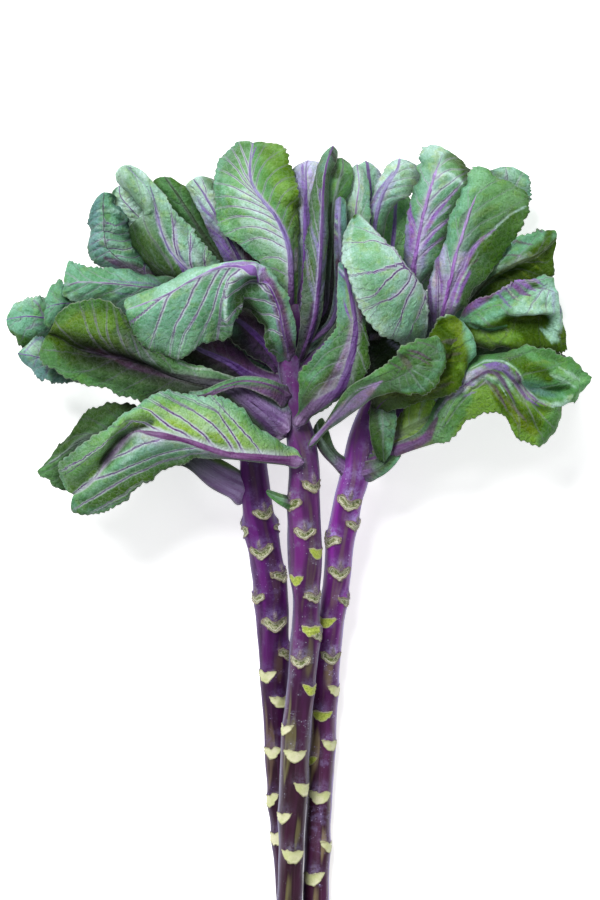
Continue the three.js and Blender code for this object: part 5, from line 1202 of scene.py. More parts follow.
# leaf_right_low: the deep stroke beside the folded valley is painted shade in that pocket.
leaf("leaf_right_low", (14, 6), 2.5,
    "363,474,58 398,456,78 432,444,90 446,440,98 466,420,104 486,412,106 504,414,104 518,437,98 538,446,92 "
    "558,420,88 567,404,86",
    "362,468,59 396,450,80 422,439,92 438,424,104 452,398,114 474,374,120 498,366 518,380,114 532,398,106 "
    "550,404,98 566,400,90",
    "361,462,58 393,444,78 418,432,90 434,412,100 446,384,108 470,362,112 505,352 536,350,106 565,357,98 "
    "592,377,88 580,388,86",
    tones="lit lit leaf leaf", purple=(0.15, 0.1), band=(0.25, 0.15), rib="mauve", vein_width=0.6,
    rib_width=0.8, fade=0, rib_end=0.25, stalk="mauve",
    vein_paths="""
    494,374 503,385 512,400 518,415 519,430; 506,376 518,392 528,410 536,428; 512,374 524,392 536,410
    548,424; 484,380 492,390 500,400; 478,386 470,392 460,402 450,416; 466,388 455,398 447,412 440,428;
    500,366 510,360 522,356; 512,370 525,362 538,358; 520,378 535,370 550,366 565,366; 526,386 540,380
    560,376 580,376; 532,394 548,392 565,388""",
    folds="""
    4 474,374,4 484,367 494,366,5 506,368 516,376,4 524,388 535,401;
    -7 520,384,5 532,390,8 546,393 560,393,5;
    5 540,404,3.5 555,404,4 568,396 574,388,3;
    5 535,366,5 550,368,7 562,376,8 572,384,5;
    3 552,415,7 543,435,8;
    -3 497,384,3 508,400,4 515,415;
    2 508,384,3 520,400,4 528,416;
    -2.5 462,384,3 472,390""",
    wider="0.97,-1,0.05,0.8,-6,2 0.97,1 0.55,1,0.2,0.5,5 0.43,1,0.1,0.5,7",
    strokes="""
    lit 0.9 480,400,9 500,408,16 525,425 540,432,10;
    moss 0.95 498,396,6 512,410,9 530,423,10 543,428,6;
    lime 0.75 492,390,3 508,405,5 522,420,6 532,432,4;
    leaf 0.9 560,402,5 552,420,8 543,440,7;
    forest 0.6 556,408,2 548,425,5 540,440,4;
    leaf 0.8 440,440,7 447,422,8 456,408 466,398,6;
    leaf_light 0.6 437,436,2 444,416,3.5 455,400,3;
    lilac_pale 0.75 448,399,2 460,388,5 471,379,6 482,373,4;
    glaucous 0.6 486,380,3 498,380,5 510,386,4;
    stalk 0.85 467,384,0.6 477,374,1.8 487,370,2.4 496,373,2.6 503,382,2.4 509,392,1.8 515,403,0.5;
    violet 0.85 484,367,0.6 494,366,1.8 503,369,2.4 511,377 518,388 526,398,1.8 537,405,0.5;
    stalk 0.8 512,372,0.6 519,380,1.8 526,390,2.2 534,399,1.8 543,404,0.5;
    mist 0.6 474,380,0.5 486,375,1.2 494,378,1.4 500,386,1.2 506,396,0.5;
    mist 0.5 500,374,0.5 507,381,1.2 514,392 522,402,0.5;
    plum 0.7 476,387,0.6 487,381,1.6 494,387,1.8 500,397,1.4 506,408,0.5;
    mauve 0.5 504,398,0.6 512,406,2 520,414,1.6 526,421,0.5;
    violet 0.8 448,394,0.5 461,387,1.2 474,384,0.6;
    violet 0.7 445,401,0.5 460,396,1.2 475,392,0.6;
    mist 0.65 472,370,0.6 485,363,1.3 500,363 512,369,1.2 521,379 529,391 537,400 549,404,1.5 561,401
    569,393,0.8;
    olive 0.9 508,359,4 522,365,7 538,371 548,379,4;
    forest 0.45 500,358,3 516,360,5 530,366,4;
    glaucous 0.9 524,382,2 536,388,6 550,393 562,394,3;
    bluish 0.8 526,386,1 540,393,4 555,396,2;
    deep 0.85 542,388,1 552,389,2.6 566,387,2;
    leaf 0.8 530,356,5 550,362,9 566,370 576,380,5;
    leaf_light 0.8 550,373,3 562,377,5 576,380,4 585,380,2;
    green 0.6 500,357,5 520,354,4;
    lime 0.5 524,366,0.5 540,362,1.3 552,364,0.6;
    lime 0.6 498,392,0.5 509,404,1.2 517,418 519,431,0.5;
    lime 0.6 512,390,0.5 524,404,1.2 534,420,0.6;
    mauve 0.9 400,452,5 414,445 428,437,4 437,430,1;
    forest 0.35 490,404,2 500,420,4 512,436,3;
    forest 0.5 506,390,0.6 514,402,1.4 522,414,0.8;
    mist 0.5 556,368,1 566,374,2 578,379,1;
    mist 0.4 548,374,0.8 560,380,1.6 572,386,0.8;
    forest 0.5 530,352,2 545,357,3 560,361,2;
    leaf_light 0.8 434,438,1.5 440,418,3 450,403 462,394,1.5;
    lilac_pale 0.5 432,432,0.5 437,414,1.2 447,400 458,391,0.5;
    leaf 0.7 446,438,2 452,424,4 462,412;
    mauve 0.85 424,438,2 432,428,3.4 438,418,1""",
    spots="mauve 0.9 0.1,0,0.1,1.2,2")
leaf("leaf_right_hanging", (6, 4), 1.5,
    "374,392,68 369,415,92 371,440,88 377,459,78",
    "380,392,69 382,415,95 383,440,92 384,462,80",
    "386,392,68 396,415,92 394,440,88 390,455,78",
    tones="deep deep green glaucous", veins=(12, 0.12), purple=0.1, band=0.3, rib="green", fade=0,
    rib_width=0.35, vein_width=0.8,
    strokes="glaucous 0.4 378,402,2 384,425,4 388,448,2; forest 0.5 372,410,2 374,430,3 380,450,2",
    spots="plum 0.7 0.1,0,0.14,1.2,2")
leaf("leaf_centre_right_curl", (9, 6), 2.5,
    "374,430,64 387,413,92 407,407,106 434,400,116 457,389,120 470,362,116 471,336,108",
    "371,426,65 380,405,94 396,394,110 420,382,121 442,366,127 457,342,124 464,326,112",
    "368,422,64 373,397,92 386,382,106 410,362,116 425,338,122 440,320,118 454,316,110",
    tones="moss lime lime moss", purple=0.2, band=0, rib="moss", fade=0, vein_width=0.7, rib_width=0.3,
    rib_end=0.3,
    vein_paths="""
    456,340 450,336 444,338; 458,350 450,350 446,354; 460,362 452,364 446,370; 454,374 446,378 438,384;
    444,384 436,390 428,394; 430,392 420,398 410,400; 462,345 466,342 470,340; 464,358 468,356 471,354;
    462,372 466,376 468,380; 450,386 454,390 456,394""",
    folds="""
    5 430,322,3 445,318,3.5 459,322,4 467,336 471,355;
    -4 440,328,6 449,336 452,352 452,368,5;
    2 430,385,4 442,378;
    2 420,394,4 432,396;
    1.5 446,340,2 456,338;
    1.5 444,352,2 455,350;
    1.5 444,364,2 456,362""",
    dents="0.8,-0.1,0.12,0.35,-5,3",
    strokes="""
    moss 0.95 440,330,5 449,338,8 452,355,9 450,375 438,390,8;
    mauve 0.4 441,343,0.8 449,341,2.6 459,338,0.8;
    mauve 0.35 440,357,0.8 450,355,3 461,353,0.8;
    lime 0.8 443,349,0.6 451,347,1.8 459,345,0.6;
    lime 0.7 443,363,0.6 451,361,1.8 459,361,0.6;
    lit 0.6 456,368,1 462,366,3 466,376,2;
    lime 0.8 430,388,0.6 441,380,1.8 452,376,0.6;
    mauve 0.3 434,391,0.6 443,385,2.2 453,382,0.6;
    lime 0.7 418,397,0.6 430,391,1.6 443,387,0.6;
    pale 0.95 424,332,2 431,321,3 440,316,3.2 452,315 461,321,3;
    glaucous 0.95 461,323,2.4 466,334,3.6 469,347,4 470,360,3 470,368,1;
    mist 0.7 459,321,0.8 468,336,1.2 472,356,0.8;
    forest 0.7 355,418,7 380,405,8 405,402,6;
    moss 0.6 400,399,4 425,400""")
leaf("leaf_centre_right_front", (11, 6), 2.5,
    "314,450,75 340,421,104 362,401,118 385,393,128 412,395,136 430,390,138 444,370,134 445,350,128",
    "309,446,76 336,415,106 354,394,119 374,385,129 396,378,139 416,366,145 432,353,141 441,343,130",
    "305,441,75 331,409,104 349,387,117 366,377,127 384,366,136 402,349,140 422,341,138 437,335,130",
    tones="forest green green leaf", purple=0.1, band=0.12, rib="leaf", fade=0, vein_width=0.5,
    rib_width=0.35, stalk="pink_grey", crown=1, rib_end=0.42, sink=-2,
    vein_paths="""
    400,368 392,362 386,353; 404,362 398,354 396,346; 407,358 406,350 406,342; 409,357 414,347 417,338;
    411,358 420,348 427,338; 412,360 424,351 436,342; 413,362 427,356 441,350; 413,364 427,362 442,361;
    412,367 426,370 440,374; 410,369 422,376 433,384; 407,371 416,380 423,390; 403,372 408,382 412,393;
    398,373 400,383 401,393; 390,375 390,384 390,391; 380,377 379,384 378,390""",
    folds="""
    -3 385,372,4 396,364,5 406,356,4;
    -3 404,360,4 412,366;
    2.5 412,345,6 424,348,7;
    2 400,384,5 420,382,6;
    2 430,350,5 438,365,6;
    -1.5 410,372,2.5 420,384;
    -1.5 416,356,2 430,362""",
    wider="0.04,-1,0.12,0.9,-4,2 0.04,1 0.25,-1,0.15,0.9,5",
    strokes="""
    forest 0.6 385,378,5 396,369,8 410,361 424,362,6;
    leaf 0.4 366,380,3 378,372,4 390,364,3;
    glaucous 0.45 402,391,2 418,386,5 431,373 440,357,4 438,346,2;
    plum 0.5 398,354,2 403,360,4 409,367,2.4;
    plum 0.8 407,351,0.5 418,354,1.1 430,360,0.5;
    plum 0.7 407,355,0.5 419,359,1.1 431,367,0.5;
    plum 0.5 409,347,0.5 421,346,0.9 433,349,0.5;
    plum 0.6 384,361,0.5 394,366,1.1 403,370,0.5;
    plum 0.4 406,369,0.5 414,378,1 418,386,0.5;
    moss 0.5 388,391,2 410,395,3 428,392,2;
    pink_grey 0.95 312,441,3 330,422,5 348,406,5.6 362,394,5 372,387,3 382,381,0.6;
    lilac_pale 0.4 320,430,0.5 338,412,1.4 356,397,0.5;
    green 0.7 322,437,0.8 338,421,2.4 354,408,3 368,398,2.4;
    mist 0.3 413,371,0.5 425,378,0.9 433,385,0.5;
    mist 0.3 409,374,0.5 418,383,0.9 424,390,0.5;
    mist 0.3 414,366,0.5 428,368,0.9 439,372,0.5;
    forest 0.45 404,382,2 420,378,4 432,366,3;
    forest 0.4 406,345,3 420,342 434,344,2""",
    spots="forest 0.8 0.1,0.8,0.3,0.5,2; green 0.5 0.1,-0.8,0.3,0.5,2")


# ---- Leaves ----------------------------------------------------------------------------------
def frame_lifts(name, rows, depth):
    """How far the frame's solid stands above the drawn surface, at each point of its own grid."""
    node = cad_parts[name]
    corners = np.array([node.matrix_world @ v.co for v in node.data.vertices]) * 1000
    tree = kdtree.KDTree(len(corners))
    for k, (x, y, _) in enumerate(corners):
        tree.insert((x, y, 0), k)
    tree.balance()
    lifts = np.full(rows.shape[:2], np.nan)
    for i, j in np.ndindex(*lifts.shape):
        x, y, z = rows[i, j]
        heights = corners[[k for _, k, _ in tree.find_range((x, y, 0), 0.02)], 2]
        if len(heights) > 1 and np.ptp(heights) > 0.3:
            blade = np.ptp(heights) - depth[i, j] + BLADE
            lifts[i, j] = heights.min() + blade / 2 + MIDRIB_BELOW * (depth[i, j] - BLADE) - z
    known = np.argwhere(~np.isnan(lifts))
    for i, j in np.argwhere(np.isnan(lifts)):
        weights = 1 / ((known[:, 0] - i) ** 2 + 0.2 * (known[:, 1] - j) ** 2) ** 2
        lifts[i, j] = (weights * lifts[known[:, 0], known[:, 1]]).sum() / weights.sum()
    return lifts


def drawn_rows(leaf, u, v):
    """The drawn middle surface at shares u along and v across, and its half widths."""
    left, rib, right = (spline(leaf[key], u) for key in ("left", "middle", "right"))
    edge = np.where((v < 0)[None, :, None], left[:, None], right[:, None])
    reach = np.abs(v)[None, :, None]
    points = rib[:, None] * (1 - reach) + edge * reach
    bulge = np.where(v < 0, *leaf["bulge"])
    a = np.abs(v)
    points[..., 2] += 4 * bulge * a * (1 - a) * smooth(u, *OPENING)[:, None]
    width = np.linalg.norm(edge - rib[:, None], axis=-1)
    return points, width


def rib_profile(u, away, base_half):
    """Half width and height of the midrib."""
    tip_half, tip_depth = MIDRIB_TIP
    half = base_half * MIDRIB_BASE + (tip_half - base_half * MIDRIB_BASE) * u**0.8
    height = base_half * PETIOLE_DEPTH + (tip_depth - base_half * PETIOLE_DEPTH) * u**0.6
    return half, height * np.maximum(0, 1 - (away / half) ** 2)


def stroke(at, path):
    """How far each drawing point lies from a path of (column, row, half width), in half widths."""
    nearest = np.full(at.shape[:-1], 99.0)
    for start, end in zip(path, path[1:]):
        along = end[:2] - start[:2]
        share = np.clip((at - start[:2]) @ along / (along @ along), 0, 1)
        gap = np.linalg.norm(at - start[:2] - share[..., None] * along, axis=-1)
        nearest = np.minimum(nearest, gap / (start[2] + (end[2] - start[2]) * share))
    return nearest


def beyond(at, path):
    """Signed distance of each drawing point from a path that runs on past both of its ends."""
    path = spline(path, np.linspace(0, 1, 24))
    path = np.vstack([path[0] + 60 * (path[0] - path[1]), path, path[-1] + 60 * (path[-1] - path[-2])])
    nearest = np.full(at.shape[:-1], np.inf)
    signed = np.zeros(at.shape[:-1])
    for start, end in zip(path, path[1:]):
        along = end - start
        share = np.clip((at - start) @ along / (along @ along), 0, 1)
        away = at - start - share[..., None] * along
        gap = np.linalg.norm(away, axis=-1)
        side = np.sign(along[0] * away[..., 1] - along[1] * away[..., 0])
        signed = np.where(gap < nearest, gap * side, signed)
        nearest = np.minimum(gap, nearest)
    return signed


def drawn_phase(at, right_side, paths):
    """Phase that is a whole number on each drawn vein of its own side of the leaf."""
    phase = np.zeros(at.shape[:-1])
    columns = at.shape[1]
    for on_right in (False, True):
        ours = []
        for path in paths:
            k = np.argmin(np.linalg.norm(at - path[len(path) // 2], axis=-1))
            if right_side.ravel()[k] == on_right:
                k = np.argmin(np.linalg.norm(at - path[0], axis=-1))
                ours.append((k // columns, path.tolist()))
        ours = [np.array(path) for _, path in sorted(ours)]
        if not ours:
            phase = np.where(right_side == on_right, 0.5, phase)
            continue
        gaps = []
        for path in ours:
            signed = beyond(at, path)
            gaps.append(signed * np.sign(signed[-1, columns // 2] - signed[0, columns // 2]))
        middles = np.array([path[len(path) // 2] for path in ours])
        spacing = np.linalg.norm(np.diff(middles, axis=0), axis=1).mean() if len(ours) > 1 else 12
        found = np.where(gaps[0] < 0, gaps[0] / spacing, len(ours) - 1 + gaps[-1] / spacing)
        for k in range(len(ours) - 1):
            inside = (gaps[k] >= 0) & (gaps[k + 1] < 0)
            found = np.where(inside, k + gaps[k] / np.maximum(gaps[k] - gaps[k + 1], 1e-6), found)
        phase = np.where(right_side == on_right, found, phase)
    return phase


def slope_size(points, field):
    """Length of a field's gradient over the curved grid, per millimetre."""
    du, dv = np.gradient(points, axis=0), np.gradient(points, axis=1)
    fu, fv = np.gradient(field, axis=0), np.gradient(field, axis=1)
    e, f, g = (du * du).sum(-1), (du * dv).sum(-1), (dv * dv).sum(-1)
    area = np.maximum(e * g - f * f, 1e-6)
    return np.sqrt(np.maximum((g * fu**2 - 2 * f * fu * fv + e * fv**2) / area, 1e-8))


class Blade:
    """A leaf's fine grid: u is the share along it, and v across it, from -1 at the left margin to 1."""

    def __init__(self, leaf, seed):
        self.look, self.seed = leaf["look"], seed
        steps, lanes = leaf["grid"]
        knots = np.array(LANES[lanes], float)
        self.base_half = np.linalg.norm(leaf["left"][0] - leaf["right"][0]) / 2
        coarse_u = np.linspace(0, 1, steps + 1)
        rows, width = drawn_rows(leaf, coarse_u, knots)
        _, ridge = rib_profile(coarse_u[:, None], np.abs(knots) * width, self.base_half)
        lifts = frame_lifts(leaf["name"], rows, BLADE + ridge)

        rib_line = spline(leaf["middle"], np.linspace(0, 1, 60))
        length = np.linalg.norm(np.diff(rib_line, axis=0), axis=1).sum()
        rows_fine = int(np.clip(length / CELL, *ROWS_FINE))
        half_fine = int(np.clip(width.max() / CELL, *HALF_FINE))
        u = np.linspace(0, 1, rows_fine + 1)
        s = np.linspace(-1, 1, 2 * half_fine + 1)
        v = np.sign(s) * np.abs(s) ** LANE_BIAS
        self.u, self.v, self.middle = u[:, None], v[None, :], half_fine
        self.points, self.width = drawn_rows(leaf, u, v)
        self.points[..., 2] += across(knots, spline(lifts, u), v)
        self.round_tip(length)
        self.a = np.abs(self.v)
        self.side = np.where(self.v < 0, 0.0, RIGHT_SIDE)
        self.run = self.u * length
        self.opened = smooth(self.width, *WIDE_BLADE)
        self.field = random_field(seed)
        self.ones = np.ones(self.width.shape)

    def stretch(self, shares):
        """Widens or narrows each row about the midrib."""
        middle = self.points[:, self.middle][:, None]
        self.points = middle + (self.points - middle) * shares[..., None]

    def round_tip(self, length):
        corner = np.minimum(CORNER, 0.6 * self.width)
        to_tip = np.clip(1 - (1 - self.u) * length / corner, 0, 1)
        reach = np.minimum(1, corner / np.maximum(self.width, 1))
        self.stretch(1 - (1 - np.sqrt(1 - to_tip**2)) * reach * 0.9)

    def spot(self, middle_u, middle_v, half_u, half_v, edge):
        """Share of each point of the grid that a spot covers."""
        u_away = np.abs((self.u - middle_u) / half_u)
        v_away = np.abs((self.v - middle_v) / half_v)
        return np.exp(-(u_away**edge) - v_away**edge)

    def add_veins(self):
        """Side veins leave the spine, which is the midrib unless the leaf is folded along a margin."""
        bend = table(self.look["spine"])
        spine = np.interp(self.u[:, 0], bend[:, 0], bend[:, 1])[:, None]
        self.off = np.abs(self.v - spine)
        self.out = self.off / (1 + np.abs(spine))
        x, y = self.points[..., 0], self.points[..., 1]
        self.at = np.stack([x / UNIT + ORIGIN_COLUMN, ORIGIN_ROW - y / UNIT], -1)
        if self.look["vein_paths"]:
            paths = [path for path, in entries(self.look["vein_paths"])]
            self.phase = drawn_phase(self.at, self.v >= spine, paths)
            return
        count, sweep = self.look["veins"]
        phase = count * (self.u**0.75 - sweep * self.out**0.85) + np.where(self.v < spine, 0.0, 0.45)
        self.phase = phase + 0.17 * self.field(self.run / 12, self.side + self.a * 2)

    def add_relief(self, ruffle):
        """Waves out of the surface at the margin, bulges between the veins, folds and dents."""
        look, a, run, side, field = self.look, self.a, self.run, self.side, self.field
        normal = normals(self.points)
        large, small = WAVE_RUN
        rise = ruffle * 1.1 * a**2.2 * field(run / large, side)
        rise = rise + ruffle * 0.5 * a**4 * field(run / small, side + 9)
        rise = rise + look["crown"] * np.sin(math.pi * a)
        between = np.sin(math.pi * self.phase) ** 2 - 0.5
        rise = rise + between * np.sin(math.pi * np.clip(self.out, 0, 1) ** 0.7)
        rise = rise + 0.6 * field(run / BULGE_RUN + 40, a * self.width / BULGE_RUN + side)
        for *where, amount, edge in table(look["dents"]):
            rise = rise + self.spot(*where, edge) * amount
        for amount, path in entries(look["folds"]):
            rise = rise + float(amount) * np.exp(-(stroke(self.at, path) ** 2))
        self.points += normal * (rise * self.opened)[..., None]

    def cut_margin(self):
        """Lobes, teeth and nicks in the surface."""
        a, run, side, field = self.a, self.run, self.side, self.field
        outward = unit(np.gradient(self.points, axis=1)) * np.sign(self.v)[..., None]
        teeth = np.abs(np.sin(math.pi * run / TOOTH_RUN + 2.2 * field(run / 20, side + 5))) - 0.6
        cut = LOBE * field(run / LOBE_RUN, side + 17) + TOOTH * teeth
        cut = (cut + NICK * field(run / NICK_RUN, side + 23)) * a**6 * self.opened
        for *where, amount, edge in table(self.look["wider"]):
            cut = cut + self.spot(*where, edge) * a * amount
        self.points += outward * cut[..., None]

    def join_stalk(self):
        """The base runs down into its stalk and closes in."""
        self.points[..., 2] -= self.look["sink"] * (1 - smooth(self.run, 0, SINK_RUN))
        clasp = 1 + CLASP * bell(self.run - CLASP_AT, CLASP_AT) - 0.6 * (1 - smooth(self.run, 0, 4))
        self.stretch(clasp)

    def skins(self):
        """The upper and lower skins, off the floor."""
        normal = normals(self.points)
        self.away = self.off * self.width
        self.half, ridge = rib_profile(self.u, self.away, self.base_half * self.look["rib_width"] ** 0.5)
        end = self.look["rib_end"]
        lasting = 1 - smooth(self.u, end - 0.15, end)
        self.half, ridge = self.half * lasting, ridge * lasting
        top = self.points + normal * (SKIN / 2 + 0.45 * ridge)[..., None]
        bottom = self.points - normal * (SKIN / 2 + 0.55 * ridge)[..., None]
        for skin in (top, bottom):
            skin[..., 2] = np.clip(skin[..., 2], 0, None)
        return top, bottom

    def blade_tones(self):
        """Tones from margin to margin, with spots and strokes over them."""
        names = self.look["tones"].split()
        names = names if len(names) == 4 else (names[0], names[0], names[1], names[1])
        tones = np.stack([linear(TONES[name]) for name in names], -1)
        tone = np.moveaxis(across((-1, -0.35, 0.35, 1), tones[None], self.v[0]), 1, -1)
        tone = np.clip(np.repeat(tone, len(self.u), 0), 0.002, 1)
        if self.look["tip"]:
            tone = painted(tone, smooth(self.u, 0.5, 0.95)[..., None], self.look["tip"])
        for name, share, where in entries(self.look["spots"]):
            tone = painted(tone, (self.spot(*where[0]) * float(share))[..., None], name)
        for name, share, path in entries(self.look["strokes"]):
            share = float(share) * smooth(stroke(self.at, path), 1.5, 0.5)
            tone = painted(tone, share[..., None], name)
        return tone

    def rib_tones(self):
        """Midrib: paler towards the tip, the stalk's tone at the base, and a bloom where it joins."""
        tone = np.broadcast_to(linear(TONES[self.look["rib"]]), (*self.width.shape, 3))
        tone = painted(tone, smooth(self.u, 0.35, 0.9)[..., None] * self.look["fade"], "vein_white")
        tone = painted(tone, (1 - smooth(self.u, 0.1, 0.34))[..., None], self.look["stalk"])
        return painted(tone, 0.7 * (1 - smooth(self.run, 2, 12))[..., None], "joint_bloom")

    def strengths(self, tone):
        """Strengths of the purple veins, the pale bands and the flush; they fade on dark blades."""
        dim = smooth(tone.mean(-1), 0.015, 0.09)
        lean = smooth(self.v, -0.2, 0.2)
        until = smooth(self.u, self.look["until"] - 0.3, self.look["until"])
        made = []
        for key, fading, least in (("purple", 0.8, 0.35), ("band", 0.6, 0.15)):
            value = self.look[key]
            left, right = value if isinstance(value, tuple) else (value, value)
            strength = (left * (1 - lean) + right * lean) * (1 - fading * until)
            made.append(strength * (least + (1 - least) * dim) * self.opened)
        flush = self.look["flush"] * (1 - smooth(self.u, 0.1, 0.75)) * (1 - smooth(self.away, 3, 22))
        return [*made, np.maximum(flush, 0)]

    def attributes(self):
        """What the leaf material reads, three numbers to a point."""
        look, ones, out = self.look, self.ones, self.out
        tone = self.blade_tones()
        size = (1.0 - 0.6 * out) * np.clip(self.width / 34, 0.4, 1) * look["vein_width"]
        size = size * (1 - look["thin"] * smooth(self.u, 0.25, 0.75))
        per_phase = 1 / slope_size(self.points, self.phase)
        start = 0.5 + 0.25 * self.field(self.phase + 50, self.side + 60)
        fork = 0.28 * smooth((out - start) / (1.05 - start), 0, 1)
        half = self.half * ones * 0.75 * look["rib_width"] + 0.01
        found = {
            "tone": tone,
            "rib_tone": self.rib_tones(),
            "vein": np.stack([self.phase, np.clip(per_phase, 0, 60), size], -1),
            "rib": np.stack([self.away, half, 0 * ones], -1),
            "amount": np.stack(self.strengths(tone), -1),
            "streak": np.stack([self.v * self.width, self.run * ones, ones * self.seed], -1),
            "margin": np.stack([fork, (1 - self.a) * self.width, out * ones], -1),
        }
        return {key: np.concatenate([values.reshape(-1, 3)] * 2) for key, values in found.items()}


def leaf_quads(top):
    """Quads of the two skins and of the rim between them, facing out."""
    rows, columns = top.shape[:2]
    total = rows * columns
    k = np.arange(total).reshape(rows, columns)
    rim = np.concatenate([k[0, :-1], k[:-1, -1], k[-1, :0:-1], k[:0:-1, 0]])
    following = np.roll(rim, -1)
    band = np.stack([following, rim, rim + total, following + total], 1)
    quads = np.concatenate([grid_quads(rows, columns), grid_quads(rows, columns, total)[:, ::-1], band])
    facing = np.cross(top[1, 0] - top[0, 0], top[0, 1] - top[0, 0])[2]
    return quads[:, ::-1] if facing > 0 else quads


def leaf_shape(leaf, seed):
    blade = Blade(leaf, seed)
    blade.add_veins()
    blade.add_relief(leaf["ruffle"])
    blade.cut_margin()
    blade.join_stalk()
    top, bottom = blade.skins()
    points = np.concatenate([top.reshape(-1, 3), bottom.reshape(-1, 3)])
    return points, leaf_quads(top), blade.attributes()


def height_map(shapes):
    """Highest surface over each cell of the floor, and a function that reads it."""
    heights = np.zeros((2 * MAP_HALF, 2 * MAP_HALF))
    for points, *_ in shapes:
        cells = np.round(points[:, :2] / MAP_CELL).astype(int) + MAP_HALF
        np.maximum.at(heights, (cells[:, 0], cells[:, 1]), points[:, 2])

    def read(x, y):
        i, j = (np.round(value / MAP_CELL).astype(int) + MAP_HALF for value in (x, y))
        return heights[np.clip(i, 0, 2 * MAP_HALF - 1), np.clip(j, 0, 2 * MAP_HALF - 1)]

    return read


def buried(points, read):
    """How deep each point lies among what stands around it, 0 to 1."""
    total = np.zeros(len(points))
    for reach in LOOK_AROUND:
        for turn in np.arange(8) * math.pi / 4 + reach:
            above = read(points[:, 0] + reach * math.cos(turn), points[:, 1] + reach * math.sin(turn))
            total += np.clip((above - points[:, 2] - 2) / (1.1 * reach), 0, 1)
    return smooth(total / (8 * len(LOOK_AROUND)), 0.06, 0.7)


def leaf_piece(leaf, shape, read, material):
    points, quads, attributes = shape
    # Painted shade: the deeper a point lies among the leaves, the darker and greener the leaf material
    # paints it, and less so on the underside.
    depth = buried(points, read)
    depth[len(points) // 2:] *= UNDERSIDE_SHADE
    depth = depth * leaf["look"]["shade"]
    attributes["shade"] = np.stack([depth, depth * 0, depth * 0], -1)
    piece = make_mesh("fine_" + leaf["name"], points, quads, attributes, material)
    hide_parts(leaf["name"])
    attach(piece, "root")
    return piece


# ---- Stalks ----------------------------------------------------------------------------------
SCAR_HALF = 8.6  # half width of a leaf scar in mm
FACET_RUN = 70  # length over which a stalk's five soft ridges wander, in mm
RIDGE = 0.75  # depth of the furrows between them
JOINT_HALF = (4.5, 5.5, 8.0)  # half sizes of the bloom where a leaf joins, in mm


def stem(path, scars, lift):
    """A stalk: its path (column, row, height, radius in drawing units), its scars (column, row, kind)
    and how much its red, green and blue are scaled: painted shade below 1, painted light above 1,
    with a small shift of tint.

    A scar's kind is 0 for cut open, 0.5 for lime and dotted, and 1 for healed over.
    """
    return {"path": table(path), "scars": table(scars), "lift": lift}


# Colour scales of the stems: painted shade on the left stem, which lies in shadow, painted light on the
# right one, and a small shift of tint on the centre one.
STEMS = {
    "stem_left": stem(
        "289,928,9.9,13 289,900 287,870 284.5,840 280,790,10.1 277,740,11 275,700,14,13.5 273,650,20,15 "
        "271.5,600,27,17 266,560,34,16.2 258.5,520,42,15.4 254,480,51,14.4 252,455,56,13 250,436,58,9",
        "264,510,0 244,528 280,530 260,548 281,575 257,595 275,622 266,675,1 280,701 287,654,0 272,753,1 "
        "270,801 276,839",
        lift=(0.66, 0.5, 0.74)),
    "stem_right": stem(
        "317,934,10,13.2 316.5,900 317.5,850,10,13 319.5,800,10,12.8 323,740,12,13 324.5,700,16 327,660,22 "
        "333.5,605,30 337,580,34,13.5 341,540,41,14 348.5,500,48 354,480,51,14.5 361,440,57,13 "
        "370,415,62,12 379,392,66,10 384,376,68,7",
        "372,463,0 350,500 355,522 330,540 340,570 346,599 326,621,0.5 332,657,0 336,689,1 322,715,0.5 "
        "331,746,1 311,762,0.5 320,798,1 328,848 312,881",
        lift=(1.35, 1.25, 1.45)),
    "stem_centre": stem(
        "289,922,33.5,12.5 290,900 291.5,850,34 293,800,35,14 296,740,38,14.5 300,700,41,14 "
        "304.5,650,45,14.5 306.5,600,50,13.5 305,560,55,17 304,500,60,16 304.5,470,64,15.5 301,440,68,14.5 "
        "293.5,400,72,10.5 289,355,79,12.5 291,325,84,11 292,304,86,7",
        "313,483,0 291,502 305,531 317,552,0.5 296,577 314,595,0 311,629,0.5 318,634,0 300,661 311,688,0.5 "
        "285,730,1 295,755 304,788 283,819 293,857",
        lift=(0.86, 0.92, 0.82)),
}


